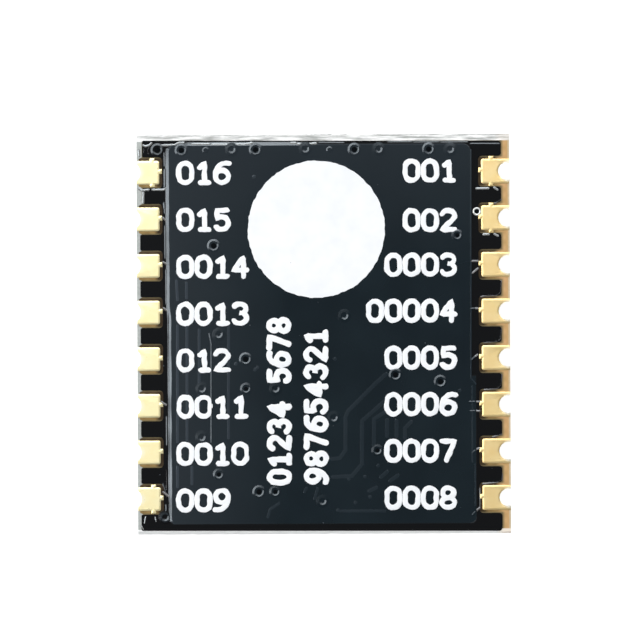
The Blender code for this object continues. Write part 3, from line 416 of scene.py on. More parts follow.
lacquer = lacquer_finish("black_lacquer", 0.5, BODY_TONES, BARE_TONE, *PAINTED_SHEENS)
collar_lacquer = lacquer_finish("collar_lacquer", 0.36, BODY_TONES, BARE_TONE, *PAINTED_SHEENS)
thin_lacquer = lacquer_finish("thin_lacquer", 0.5, THIN_TONES, THIN_LOW, *THIN_PAINTED_SHEENS)
lip_lacquer = lacquer_finish("lip_lacquer", 1.0, (LIP_LOW, LIP_LOW), LIP_LOW, LIP_LOW, LIP_LOW)
# A near-black finish for the wells: painted shade
painted_shade_well = lacquer_finish("painted_shade_well", 0.1, (WELL_SHADE_TONE, WELL_SHADE_TONE), WELL_SHADE_TONE, WELL_SHADE_TONE, WELL_SHADE_TONE)
print([finish.name for finish in (lacquer, collar_lacquer, thin_lacquer, lip_lacquer, painted_shade_well)])

# %% [markdown]
# ## Gold
# The terminals are copper with a thin coat of nickel and gold. The gold is satin: smooth enough to
# show where the light stands, rough enough to stay bright all over. Small pits and a slow change of
# tone stand for the uneven copper under it. The terminals on the left, nearer to the lamps, are painted
# paler, a painted highlight, and fade to a painted near-white glare towards the half hole; on the right
# only a narrow ring round each half hole carries the same painted highlight.

# %% Gold
# Spans of the painted highlight round the half holes: on the right a ring, on the left a near-white glare
HOLE_GLOW = (0.50 * MM, 0.39 * MM)
LEFT_GLOW = (0.36 * MM, 0.02 * MM)

gold, shader, position = new_material("satin_gold", 0.48, 1.0)
x = axes(position)["X"]
satin = place_group(grain, position, Details_per_mm=16.0)
patina = place_group(grain, position, Details_per_mm=6.0)
warm = mixed(satin["Tone"], (0.94, 0.72, 0.33), (0.97, 0.78, 0.40))
warm = mixed(times(patina["Tone"], 0.25), warm, (0.96, 0.67, 0.34))
# A paler gold for the terminals on the left, nearer to the lamps: painted highlight
pale = mixed(satin["Tone"], (1.0, 0.88, 0.50), (1.0, 0.92, 0.58))
tone = mixed(ramp(x, 1.0 * MM, -1.0 * MM), warm, pale)
pits = place_group(specks, position, Details_per_mm=7.0, Size=0.10)
tone = mixed(pits["Mask"], tone, (0.84, 0.60, 0.30))
distance = place_group(hole_place, position)["Distance"]
# Painted highlight round each half hole, on the right and, whiter, on the left
halo = times(ramp(distance, *HOLE_GLOW), ramp(x, 0.0, MM))
tone = mixed(halo, tone, (1.0, 0.97, 0.86))
glow = times(ramp(distance, *LEFT_GLOW), ramp(x, 0.0, -MM))
tone = mixed(glow, tone, (1.0, 1.0, 0.93))
feed(shader.inputs["Base Color"], tone)
feed(shader.inputs["Roughness"], ramp(satin["Height"], 0.0, 1.0, 0.42, 0.54))
bumped(shader, satin["Height"], 0.002 * MM)
print(gold.name)

# %% [markdown]
# ## Laminate
# The board is woven glass in amber resin. Its cut sides show the layers of cloth. On the faces the
# resin is painted dark in the trenches round the terminals, as painted shade: darker brown above each
# terminal and olive below it. The right-hand border is scuffed to tan and ends in a cream rim; beside
# the ends of the tongues it is darker, a painted shadow of the lacquer's edge. The left border has a
# grey rim, wider beside the lacquer's tongues, which is a painted highlight on the board's edge. At the
# scored and snapped ends the broken fibres are pale; the lower end, whose slope faces away from the
# lamps, is painted lighter than the upper one, as painted light. The distance from the middle of the
# board and from the half holes tells these apart.

# %% Laminate
# How far the painted shade of the trenches reaches from the middle
DARK_ZONE = (7.08 * MM, 7.25 * MM)
DARK_ON_RIGHT = 0.20 * MM
TAN_ZONE = (7.35 * MM, 7.65 * MM)
# Where the painted shadow of the tongues' ends lies on the right-hand strip
TONGUE_SHADOW_ZONE = (7.75 * MM, 7.63 * MM)
TONGUE_ZONE = (0.58 * MM, 0.66 * MM)
# Widths of the grey rim on the left: a painted highlight on the board's edge
RIM = 0.10 * MM
RIM_BY_TONGUE = 0.24 * MM
RIM_RIGHT = 0.09 * MM
RIM_BLEND = 0.03 * MM
CUT_SIDE = (0.02 * MM, 0.06 * MM)
SCORE = 0.19 * MM
THREAD = 0.45 * MM
LAYER = 0.18 * MM

laminate, shader, position = new_material("glass_laminate", 0.6)
feed(shader.inputs["Specular IOR Level"], 0.2)
x, y, z = axes(position)
fibres = place_group(grain, position, Details_per_mm=9.0)
strands = place_group(streaks, position, Details_per_mm=9.0, Stretch=0.12)
warp = maths("SINE", times(x, math.tau / THREAD))
weft = maths("SINE", times(y, math.tau / THREAD))
weave = ramp(times(warp, weft), -1.0, 1.0)
stack = maths("SINE", times(z, math.tau / LAYER))
from_middle_x = maths("ABSOLUTE", x)
from_middle_y = maths("ABSOLUTE", y)

# Dark and brown carry painted shade in the trenches round the terminals; olive lies below each one
dark = mixed(weave, (0.028, 0.016, 0.006), (0.048, 0.029, 0.010))
brown = mixed(weave, (0.045, 0.027, 0.011), (0.075, 0.048, 0.020))
olive = mixed(weave, (0.24, 0.155, 0.055), (0.32, 0.21, 0.075))
scuffed = mixed(weave, (0.49, 0.31, 0.115), (0.60, 0.38, 0.16))
scuffed = mixed(times(fibres["Tone"], 0.5), scuffed, (0.66, 0.38, 0.20))
walls = mixed(ramp(stack, -1.0, 1.0), (0.42, 0.30, 0.13), (0.62, 0.52, 0.33))
# A grey for the left rim: painted highlight on the board's edge
grey_rim_highlight = mixed(fibres["Height"], (0.32, 0.35, 0.34), (0.56, 0.58, 0.56))
cream_rim = mixed(fibres["Height"], (0.54, 0.43, 0.27), (0.68, 0.58, 0.42))
upper_end = ramp(y, -MM, MM)
# Pale broken fibres; the lower end is painted lighter than the upper one, as painted light where its slope
# faces away from the lamps
torn = mixed(upper_end, (0.95, 0.96, 0.95), (0.36, 0.37, 0.36))
splinters = mixed(strands["Tone"], torn, (0.99, 0.99, 0.98))
tan_border = ramp(x, *TAN_ZONE)
soil_share = maths("SUBTRACT", 0.45, times(upper_end, 0.3))
splinters = mixed(times(tan_border, soil_share), splinters, (0.76, 0.55, 0.33))

place = place_group(hole_place, position)
trench = mixed(ramp(place["Above"], 0.2 * MM, -0.2 * MM), brown, olive)
on_right = ramp(x, -MM, MM)
reach = maths("ADD", from_middle_x, times(on_right, DARK_ON_RIGHT))
colour = mixed(ramp(reach, *DARK_ZONE), dark, trench)
colour = mixed(tan_border, colour, scuffed)
by_tongue = ramp(maths("ABSOLUTE", place["Above"]), *TONGUE_ZONE)
# Painted shadow of the tongues' ends on the right-hand strip
tongue_shadow_share = times(by_tongue, ramp(x, *TONGUE_SHADOW_ZONE))
colour = mixed(tongue_shadow_share, colour, (0.16, 0.13, 0.065))
in_reach = maths("ADD", times(by_tongue, RIM_BY_TONGUE - RIM), RIM)
inside = maths("SUBTRACT", x, board_low.x)
# The grey rim on the left: painted highlight
left_rim = ramp(maths("SUBTRACT", inside, in_reach), 0.0, -0.02 * MM)
colour = mixed(left_rim, colour, grey_rim_highlight)
right_rim = ramp(x, board_high.x - RIM_RIGHT, board_high.x - RIM_RIGHT + RIM_BLEND)
colour = mixed(right_rim, colour, cream_rim)
below_back = ramp(z, BACK_FACE - CUT_SIDE[0], BACK_FACE - CUT_SIDE[1])
above_front = ramp(z, board_low.z + CUT_SIDE[0], board_low.z + CUT_SIDE[1])
colour = mixed(times(below_back, above_front), colour, walls)
end = ramp(from_middle_y, board_high.y - SCORE, board_high.y - SCORE + RIM_BLEND)
feed(shader.inputs["Base Color"], mixed(end, colour, splinters))
bumped(shader, weave, 0.004 * MM)
bumped(shader, fibres["Height"], 0.01 * MM)
print(laminate.name)

# %% [markdown]
# ## White ink
# The ink is screen printed and baked, chalky white and matt. Its surface is finely uneven, with a few
# pinholes where the black lacquer shows through.

# %% White ink
ink, shader, position = new_material("white_ink", 0.6)
chalk = place_group(grain, position, Details_per_mm=12.0)
pinholes = place_group(specks, position, Details_per_mm=2.2, Size=0.04)
white = mixed(chalk["Tone"], (0.87, 0.89, 0.92), (0.93, 0.94, 0.96))
white = mixed(pinholes["Mask"], white, (0.42, 0.43, 0.45))
feed(shader.inputs["Base Color"], white)
bumped(shader, chalk["Height"], 0.003 * MM)
print(ink.name)

# %% [markdown]
# ## Tinned steel
# The can is rolled steel strip with a soft tin coat, so its sheen has faint lines along the rolling
# direction, and smudges where it has been handled.

# %% Tinned steel
tinplate, shader, position = new_material("rolled_tinplate", 0.34, 1.0)
rolled = place_group(streaks, position, Details_per_mm=11.0, Stretch=0.03)
smudge = place_group(grain, position, Details_per_mm=3.0)
tin = mixed(rolled["Tone"], (0.66, 0.67, 0.67), (0.78, 0.78, 0.77))
tin = mixed(times(smudge["Tone"], 0.3), tin, (0.60, 0.61, 0.62))
feed(shader.inputs["Base Color"], tin)
feed(shader.inputs["Roughness"], ramp(smudge["Tone"], 0.0, 1.0, 0.26, 0.42))
bumped(shader, rolled["Height"], 0.0012 * MM)
print(tinplate.name)


# %% [markdown]
# ## Mouldings, ceramics and bare metals
# The socket's base is a heat-proof cream plastic. The chip and the switch are black moulding
# compound, which is slightly grainy. The chip parts are ceramic blocks, solder is smooth with a
# frosted skin, and the copper foil hardly shows. All of these are two close tones over a fine grain,
# so one function makes them.

# %% Plain finishes
def plain_finish(name, roughness, dark, light, details, depth, metallic=0.0):
    """A finish of two close tones over a fine grain."""
    material, shader, position = new_material(name, roughness, metallic)
    body = place_group(grain, position, Details_per_mm=details)
    feed(shader.inputs["Base Color"], mixed(body["Tone"], dark, light))
    bumped(shader, body["Height"], depth)
    return material


solder = plain_finish("solder", 0.28, (0.70, 0.70, 0.69), (0.84, 0.84, 0.83), 14.0, 0.005 * MM, 1.0)
copper = plain_finish("copper_foil", 0.38, (0.74, 0.37, 0.22), (0.86, 0.47, 0.30), 12.0, 0.003 * MM, 1.0)
cream = plain_finish("cream_moulding", 0.5, (0.74, 0.70, 0.60), (0.82, 0.79, 0.70), 10.0, 0.003 * MM)
compound = plain_finish("chip_compound", 0.55, (0.022, 0.022, 0.024), (0.036, 0.036, 0.038), 22.0, 0.006 * MM)
plated_lid = plain_finish("plated_lid", 0.3, (0.66, 0.62, 0.50), (0.76, 0.73, 0.62), 6.0, 0.002 * MM, 1.0)
brown_ceramic = plain_finish("brown_ceramic", 0.5, (0.33, 0.22, 0.12), (0.44, 0.31, 0.19), 14.0, 0.004 * MM)
black_glaze = plain_finish("black_glaze", 0.35, (0.03, 0.03, 0.034), (0.05, 0.05, 0.055), 10.0, 0.003 * MM)
grey_ceramic = plain_finish("grey_ceramic", 0.45, (0.48, 0.50, 0.52), (0.58, 0.60, 0.62), 12.0, 0.004 * MM)

inner_finishes = {
    "back_copper_plane": copper,
    "front_copper_plane": copper,
    "antenna_feed_line": copper,
    "radio_chip": compound,
    "antenna_switch": compound,
    "reference_crystal": plated_lid,
    "filter_inductor": grey_ceramic,
    "matching_inductor": grey_ceramic,
    "filter_capacitor": brown_ceramic,
    "matching_capacitor": brown_ceramic,
    "decoupling_capacitor": brown_ceramic,
    "supply_capacitor": brown_ceramic,
    "pull_up_resistor": black_glaze,
}
for name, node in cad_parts.items():
    label = name.rstrip("0123456789").rstrip("_")
    if label in inner_finishes:
        node.data.materials.clear()
        node.data.materials.append(inner_finishes[label])
print("inner finishes", len(inner_finishes))

# %% [markdown]
# ## From CAD solids to pieces
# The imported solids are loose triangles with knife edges. A copy has its doubled corners merged and
# its flat triangles joined into whole faces again, and then its edges can be rounded. Rounding is
# most of what makes metal and lacquer look real, because an edge needs some width to catch the light.
# A Weighted Normal modifier keeps the large faces flat while the rounded edges stay smooth. Faces
# here measure a few square millimetres, far below its usual threshold, so the threshold is zero.

# %% Helpers for pieces
WELD = 0.0004 * MM
SHARP_EDGE = math.radians(50.0)


def welded_copy(node):
    """A CAD solid's shape as a clean bmesh of whole faces."""
    shape = bmesh.new()
    shape.from_mesh(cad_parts[node].data)
    bmesh.ops.remove_doubles(shape, verts=shape.verts, dist=WELD)
    bmesh.ops.dissolve_limit(shape, angle_limit=math.radians(0.5), verts=shape.verts, edges=shape.edges)
    return shape


def soften(shape, width):
    """Round the sharp edges of a shape."""
    edges = [
        edge for edge in shape.edges
        if len(edge.link_faces) == 2 and edge.calc_face_angle(0.0) >= SHARP_EDGE
    ]
    bmesh.ops.bevel(
        shape, geom=edges, offset=width, affect="EDGES",
        segments=2, profile=0.5, material=-1, clamp_overlap=True,
    )


def add_piece(name, shape, material, stands_for=None, sharp=35.0, keep_flat=False):
    """Make a shape a piece of the module: it rides on the only body and has a finish."""
    shape.normal_update()
    for face in shape.faces:
        face.smooth = True
    for edge in shape.edges:
        edge.smooth = edge.calc_face_angle(0.0) < math.radians(sharp)
    mesh = bpy.data.meshes.new(name)
    shape.to_mesh(mesh)
    shape.free()
    mesh.materials.append(material)
    item = bpy.data.objects.new(name, mesh)
    bpy.context.scene.collection.objects.link(item)
    if keep_flat:
        weighting = item.modifiers.new("flat_faces", "WEIGHTED_NORMAL")
        weighting.keep_sharp = True
        weighting.weight = 100
        weighting.thresh = 0.0
    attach(item, "root")
    if stands_for:
        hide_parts(stands_for)
    print(name, len(mesh.polygons), "faces")


# %% [markdown]
# ## The board's blank
# The sides were milled, but the two ends were scored from both faces and snapped, which leaves rough,
# splintered slopes. The score runs square to the picture while the board leans in it, so the upper
# border of each slope is moved by a few hundredths of a millimetre, and the lacquer with it. The flat
# faces are cut into triangles first, because a face with hundreds of corners fills badly. The slopes
# are then divided finely, and the corners between their borders are moved in and out by a noise. At
# the upper end torn fibres stand out a few hundredths of a millimetre past the cut.

# %% Board
SCORE_START = 8.0 * MM
UPPER_SCORE_SHIFT = 0.05 * MM
LOWER_SCORE_SHIFT = -0.11 * MM
SPLINTER = 0.045 * MM
SETTLING = 0.1 * MM
UPPER_FRAY = 0.13 * MM
LOWER_FRAY = 0.045 * MM
ACROSS_CUTS = 220
DOWN_CUTS = 5
FINE_ALONG = 5.0
FINE_ACROSS = 16.0
COARSE = 1.3


def follow_score(corner):
    """Move a corner that lies near an end of the back face to where the score runs."""
    past = abs(corner.co.y) - SCORE_START
    if past > 0.0 and corner.co.z > BACK_FACE - WELD:
        share = past / (board_high.y - SCORE - SCORE_START)
        shift = UPPER_SCORE_SHIFT if corner.co.y > 0.0 else LOWER_SCORE_SHIFT
        corner.co.y += share * (shift - math.tan(LEAN) * corner.co.x)


blank = welded_copy("circuit_board")
for corner in blank.verts:
    follow_score(corner)
bmesh.ops.triangulate(blank, faces=[face for face in blank.faces if abs(face.normal.z) > 0.99])
slopes = [face for face in blank.faces if abs(face.normal.y) > 0.5 and abs(face.calc_center_median().x) < MM]
long_edges = [
    edge for edge in blank.edges
    if edge.calc_length() > board_high.x and any(face in slopes for face in edge.link_faces)
]
bmesh.ops.subdivide_edges(blank, edges=long_edges, cuts=ACROSS_CUTS, use_grid_fill=True)
inner_line = board_high.y - SCORE
strips = [
    edge for edge in blank.edges
    if min(abs(corner.co.y) for corner in edge.verts) > inner_line - WELD
    and abs(edge.verts[0].co.z - edge.verts[1].co.z) > SPLINTER
]
bmesh.ops.subdivide_edges(blank, edges=strips, cuts=DOWN_CUTS, use_grid_fill=True)
for corner in blank.verts:
    x, y, z = corner.co
    past = abs(y) - inner_line
    if past < WELD or z > BACK_FACE - WELD:
        continue
    fine = noise.noise(Vector((x * FINE_ALONG, y * FINE_ACROSS, z * FINE_ACROSS)) / MM)
    coarse = noise.noise(Vector((x, y, z * 2.0)) / MM * COARSE)
    fray = UPPER_FRAY if y > 0.0 else LOWER_FRAY
    growth = fray - SPLINTER * (abs(fine) + 0.5 * abs(coarse))
    corner.co.y += math.copysign(growth * min(1.0, past / SETTLING), y)
print("slopes", len(slopes), "strips", len(strips))
add_piece("laminate_board", blank, laminate, "circuit_board", sharp=30.0)

# %% [markdown]
# ## Terminals
# A pad is etched foil with plating grown over it, so its edges are soft shoulders and not corners.
# The flat faces of each terminal are inset twice, and each time the new outer ring is let down, which
# rolls the pad's border over towards the board; the mill has left the half hole's own edge crisp. The
# half holes on the left were cut less deep, so theirs are made shallower, and those pads are also a
# little less tall in the picture.

# %% Terminals
SHOULDER_RINGS = ((0.035 * MM, 0.016 * MM), (0.035 * MM, 0.006 * MM))
HOLE_REACH = 0.40 * MM
CRISP_REACH = 0.46 * MM
LEFT_HOLE_DEPTH = 0.62
LEFT_PAD_BORDER = 0.42 * MM
LEFT_PAD_TRIM = 0.026 * MM


def roll_over(shape, level, outward, hole):
    """Turn the border of the flat face at a level into a rounded shoulder, but not at the half hole."""
    faces = [
        face for face in shape.faces
        if face.normal.z * outward > 0.99 and abs(face.calc_center_median().z - level) < WELD
    ]
    for width, drop in SHOULDER_RINGS:
        bmesh.ops.inset_region(shape, faces=faces, thickness=width, use_even_offset=True)
        inner = {corner for face in faces for corner in face.verts}
        for corner in shape.verts:
            crisp = (corner.co.xy - hole).length < CRISP_REACH
            if corner not in inner and abs(corner.co.z - level) < WELD and not crisp:
                corner.co.z -= outward * drop


for number in range(1, 17):
    node = f"terminal_{number:02d}"
    low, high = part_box(node)
    terminal = welded_copy(node)
    on_left = low.x < 0.0
    hole = Vector((board_low.x if on_left else board_high.x, PITCH * (math.floor(high.y / PITCH) + 0.5)))
    for corner in terminal.verts:
        inside = corner.co.x - board_low.x
        above = corner.co.y - hole.y
        if on_left and WELD < inside < HOLE_REACH and abs(above) < HOLE_REACH:
            corner.co.x -= (1.0 - LEFT_HOLE_DEPTH) * inside
        elif on_left and abs(above) > LEFT_PAD_BORDER:
            corner.co.y -= math.copysign(LEFT_PAD_TRIM, above)
    roll_over(terminal, high.z, 1.0, hole)
    roll_over(terminal, low.z, -1.0, hole)
    add_piece(f"gold_{node}", terminal, gold, node, sharp=9.0, keep_flat=True)

# %% [markdown]
# ## The lacquer on both faces
# The mask's own solids carry the tongues between the terminals and the step over the copper. Wet
# lacquer can't hold a corner, so it climbs the copper in a slope of about 15 degrees. On the left and
# at the top the slope faces the soft boxes and draws the brightest lines on the board. Its two borders
# are found by their height, divided finely, and moved apart; a noise makes them wander. The tongues
# are trimmed by a few hundredths of a millimetre, the uppermost ones on the left by more, to end where
# the photograph shows them, and the hidden foil is drawn in under the wider slope.

# %% Slopes over the copper
SLOPE_CUTS = 70
SLOPE_STEEPNESS = (0.5, 0.7)
SLOPE_LEVELS = (BACK_FACE + 0.025 * MM, PLATEAU_TOP + WELD)
LONG_EDGE = 9.0 * MM
LEFT_SLOPE_X = (-6.75 * MM, -6.56 * MM)
LEFT_SLOPE_Y = (-8.08 * MM, 8.15 * MM)
TOP_SLOPE_X = (-6.56 * MM, 6.25 * MM)
TOP_SLOPE_Y = (8.1 * MM, 8.2 * MM)
CREST_IN = 0.15 * MM
FOOT_OUT = 0.04 * MM
TOP_FOOT_OUT = 0.115 * MM
TOP_NARROWING = 0.55
TOP_NARROWS = (-1.4 * MM, 0.6 * MM)
TOP_END = 6.3 * MM
TOP_END_RUN = 0.4 * MM
WANDER = 0.018 * MM
UPPER_LEFT_SHIFT = -0.065 * MM
UPPER_LEFT_START = (0.7 * MM, 1.3 * MM)


def within(value, limits):
    """Whether a value lies between two limits."""
    return limits[0] < value < limits[1]


def eased(value, low, high):
    """A smooth climb from 0 to 1 while a value goes from one limit to the other."""
    share = min(1.0, max(0.0, (value - low) / (high - low)))
    return share * share * (3.0 - 2.0 * share)


def wander(along, lane):
    """A small smooth offset that changes along a line and differs from lane to lane."""
    return WANDER * (noise.noise(Vector((along / MM * 0.9, lane, 0.5)))
                     + 0.6 * noise.noise(Vector((along / MM * 3.1, lane, 7.5))))


def shape_slopes(skin):
    """Widen the slopes at the left and the top of the copper."""
    edges = [
        edge for edge in skin.edges
        if edge.calc_length() > LONG_EDGE
        and any(within(face.normal.z, SLOPE_STEEPNESS) for face in edge.link_faces)
    ]
    bmesh.ops.subdivide_edges(skin, edges=edges, cuts=SLOPE_CUTS, use_grid_fill=True)
    for corner in skin.verts:
        x, y, z = corner.co
        on_crest = z > PLATEAU_TOP - WELD
        if not within(z, SLOPE_LEVELS):
            continue
        if within(x, LEFT_SLOPE_X) and within(y, LEFT_SLOPE_Y):
            corner.co.x += UPPER_LEFT_SHIFT * eased(y, *UPPER_LEFT_START)
            corner.co.x += CREST_IN if on_crest else FOOT_OUT
            corner.co.x += wander(y, 3.0 if on_crest else 11.0)
        elif within(y, TOP_SLOPE_Y) and not on_crest and within(x, TOP_SLOPE_X):
            share = 1.0 - TOP_NARROWING * eased(x, *TOP_NARROWS)
            corner.co.y += TOP_FOOT_OUT * share * eased(TOP_END - abs(x), 0.0, TOP_END_RUN)
            corner.co.y += 0.6 * wander(x, 5.0)


print("slopes: cuts", SLOPE_CUTS)

# %% Tongues between the terminals
LEFT_TIPS = -7.69 * MM
LEFT_TRIM = 0.055 * MM
SHORT_TONGUE_TRIM = 0.15 * MM
SHORT_TONGUES = ((5.6 * MM, 6.4 * MM), (7.6 * MM, 8.5 * MM))
RIGHT_TIPS = 7.45 * MM
RIGHT_TRIM = -0.035 * MM
OUTER_BORDER = 8.18 * MM
END_TONGUES = 7.0 * MM
TONGUE_HALF = 0.34 * MM
END_HALF = 0.29 * MM
TIP_RADIUS = 0.2 * MM
LEFT_ROUND = 0.3
RIGHT_ROUND = 0.6


def trim_tongues(skin):
    """Square the outer ends of the tongues and bring them to where the photograph shows them."""
    low_x = min(corner.co.x for corner in skin.verts)
    high_x = max(corner.co.x for corner in skin.verts)
    for corner in skin.verts:
        middle = PITCH * round(corner.co.y / PITCH)
        half = TONGUE_HALF if abs(middle) < END_TONGUES or abs(corner.co.y) < abs(middle) else END_HALF
        tip_y = middle + math.copysign(half, corner.co.y - middle)
        for tip_x, keep in ((low_x, LEFT_ROUND), (high_x, RIGHT_ROUND)):
            if abs(corner.co.x - tip_x) < TIP_RADIUS + WELD and abs(corner.co.y - tip_y) < TIP_RADIUS + WELD:
                corner.co.x = tip_x + (corner.co.x - tip_x) * keep
                corner.co.y = tip_y + (corner.co.y - tip_y) * keep
    for corner in skin.verts:
        if corner.co.x < LEFT_TIPS:
            short = any(within(corner.co.y, tongue) for tongue in SHORT_TONGUES)
            corner.co.x += SHORT_TONGUE_TRIM if short else LEFT_TRIM
        elif corner.co.x > RIGHT_TIPS:
            corner.co.x += RIGHT_TRIM
        if abs(corner.co.y) > OUTER_BORDER:
            follow_score(corner)


print("tongues: trimmed on the left, mm", LEFT_TRIM / MM, SHORT_TONGUE_TRIM / MM)

# %% Masks and foil
FOIL_CORNER = 0.3 * MM

back_skin = welded_copy("back_solder_mask")
trim_tongues(back_skin)
shape_slopes(back_skin)
add_piece("back_lacquer", back_skin, lacquer, "back_solder_mask", sharp=9.0, keep_flat=True)
front_skin = welded_copy("front_solder_mask")
add_piece("front_lacquer", front_skin, lacquer, "front_solder_mask", keep_flat=True)

foil = welded_copy("back_copper_plane")
foil_border = min(corner.co.x for corner in foil.verts)
for corner in foil.verts:
    if corner.co.x < foil_border + FOIL_CORNER:
        corner.co.x += CREST_IN
add_piece("trimmed_foil", foil, copper, "back_copper_plane")


# %% [markdown]
# ## Ridges
# Traces, lips of lacquer and pen strokes are all tubes that are pressed almost flat and sunk half way
# into the surface. A curve with a bevel makes the tube, and one scaling makes it low, which keeps the
# list of lines short and readable. Four sides give a ridge like a roof, whose even flanks mirror a
# lamp as one clean line; more sides give a soft swelling. The curve is drawn in millimetres, so that
# its section is made accurately, and is brought down to metres as a mesh.

# %% Helpers for ridges
END_STEPS = ((0.45, 0.89), (0.8, 0.6), (1.0, 0.12))
RIDGE_STEP = 0.09 * MM
ROOF = 4


def dense(path):
    """The same line with extra points, no further apart than the step."""
    points = [Vector(path[0])]
    for end in path[1:]:
        start = points[-1].copy()
        count = max(1, math.ceil((Vector(end) - start).length / RIDGE_STEP))
        points += [start.lerp(Vector(end), index / count) for index in range(1, count + 1)]
    return points


def rounded_ends(points, half_width):
    """Points and their swelling, with both ends drawn out to a rounded tip."""
    tips = []
    for end, inner in ((points[0], points[1]), (points[-1], points[-2])):
        outward = (end - inner).normalized() * half_width
        tips.append([(end + outward * reach, swell) for reach, swell in END_STEPS])
    return tips[0][::-1] + [(point, 1.0) for point in points] + tips[1]


def ridge_shape(paths, half_width, height, level, sides=8):
    """Low ridges along paths of places in metres, standing on a level; a path may close on itself."""
    curve = bpy.data.curves.new("ridges", "CURVE")
    curve.dimensions = "3D"
    curve.bevel_depth = half_width / MM
    curve.bevel_resolution = (sides - 4) // 2
    curve.use_fill_caps = True
    for path in paths:
        points = dense(path)
        closed = (points[0] - points[-1]).length < WELD
        line = [(point, 1.0) for point in points[:-1]] if closed else rounded_ends(points, half_width)
        spline = curve.splines.new("POLY")
        spline.points.add(len(line) - 1)
        spline.use_cyclic_u = closed
        for target, (point, swell) in zip(spline.points, line):
            target.co = (point.x / MM, point.y / MM, 0.0, 1.0)
            target.radius = swell
    draft = bpy.data.objects.new("ridges", curve)
    bpy.context.scene.collection.objects.link(draft)
    mesh = bpy.data.meshes.new_from_object(draft.evaluated_get(bpy.context.evaluated_depsgraph_get()))
    shape = bmesh.new()
    shape.from_mesh(mesh)
    bpy.data.objects.remove(draft)
    bpy.data.meshes.remove(mesh)
    bmesh.ops.scale(shape, verts=shape.verts, vec=(MM, MM, MM * height / half_width))
    bmesh.ops.translate(shape, verts=shape.verts, vec=(0.0, 0.0, level))
    bmesh.ops.recalc_face_normals(shape, faces=shape.faces)
    return shape


def joined(shapes):
    """Several shapes as one."""
    whole = bmesh.new()
    for shape in shapes:
        mesh = bpy.data.meshes.new("passing")
        shape.to_mesh(mesh)
        shape.free()
        whole.from_mesh(mesh)
        bpy.data.meshes.remove(mesh)
    return whole


def add_ridges(name, material, sharp, *sets):
    """One piece of lacquer from sets of pixel lines, each with a half width, height, level and sides."""
    shapes = []
    for lines, *section in sets:
        shapes.append(ridge_shape([[spot(*point) for point in line] for line in lines], *section))
    add_piece(name, joined(shapes), material, sharp=sharp)


print("ridge helpers ready")

# %% [markdown]
# ## Traces
# Each line is written in the photograph's pixels. Wide traces cross the lower right of the board,
# thin straight ones run down its left side, and short ones join a terminal to the copper.

# %% Traces on the back
wide_traces = (
    ((386, 374), (376, 383), (348, 411), (345.5, 417), (345.5, 450), (340, 458), (332, 459)),
    ((387, 399), (362, 421), (362, 464), (352, 476), (333, 477)),
    ((385, 412), (374, 419), (374, 447)),
    ((387, 420), (387, 436)),
    ((396.5, 421), (396.5, 436)),
    ((411, 422), (405, 428), (405, 438)),
    ((387, 472), (381, 477)),
    ((397.6, 475.5), (390.6, 480.6)),
    ((376, 487.6), (369.5, 490.8)),
)
left_traces = (
    ((177.5, 326), (177.5, 442)),
    ((187, 326), (187, 442)),
    ((199.2, 330), (199.2, 410)),
    ((228.6, 326), (228.6, 438)),
    ((177.5, 467), (177.5, 487)),
    ((192, 467), (192, 484)),
    ((176.5, 281), (177.5, 300)),
    ((186.5, 283), (186.5, 298)),
    ((340, 511), (385, 511)),
    ((317.5, 488.5), (316.5, 493), (314.5, 498.5)),
    ((279, 503.5), (270, 509.5), (268, 517)),
    ((304.5, 492), (306.5, 488)),
)
bright_traces = (
    ((209.5, 334), (211.5, 343), (211.5, 442)),
)
exits = (
    ((478, 308.3), (475.5, 308.4)),
    ((477.5, 354.6), (475.6, 356.2)),
    ((479.5, 401.7), (475.6, 401.6)),
    ((479.5, 411), (475.6, 410.9)),
    ((479.3, 448.2), (477, 449), (475.8, 449.9)),
    ((479.7, 507.8), (475.8, 511.3)),
    ((472, 261), (478, 261)),
    ((472.5, 273), (478, 268.3)),
    ((162.5, 217.5), (167, 221.5)),
    ((163, 262), (170, 266)),
    ((163.5, 308), (169, 312)),
    ((161.5, 402), (166, 405)),
    ((163, 492), (169.5, 497)),
)
upper_exits = (
    ((474.6, 308.4), (471, 308.6)),
    ((474.6, 357), (471.8, 359.4)),
    ((474.6, 401.6), (469.5, 401.6)),
    ((474.6, 410.9), (470.5, 410.8)),
    ((474.8, 450.6), (472.7, 452.6)),
    ((474.8, 512.2), (472.7, 514.3)),
)

add_ridges(
    "back_traces", thin_lacquer, 60.0,
    (wide_traces, 0.09 * MM, 0.0065 * MM, PLATEAU_TOP - 0.001 * MM),
    (left_traces, 0.08 * MM, 0.010 * MM, PLATEAU_TOP - 0.006 * MM),
)
add_ridges(
    "bright_trace", collar_lacquer, 20.0,
    (bright_traces, 0.045 * MM, 0.0098 * MM, PLATEAU_TOP, ROOF),
    (upper_exits, 0.036 * MM, 0.0095 * MM, PLATEAU_TOP, ROOF),
)
add_ridges("terminal_exits", thin_lacquer, 20.0, (exits, 0.042 * MM, 0.0125 * MM, TONGUE_TOP, ROOF))

# %% [markdown]
# ## Lines beside the copper
# Outside the copper's border the lacquer shows the edges of what lies under it: bright lines on the
# left, where they face the lamps, and faint ones on the right.

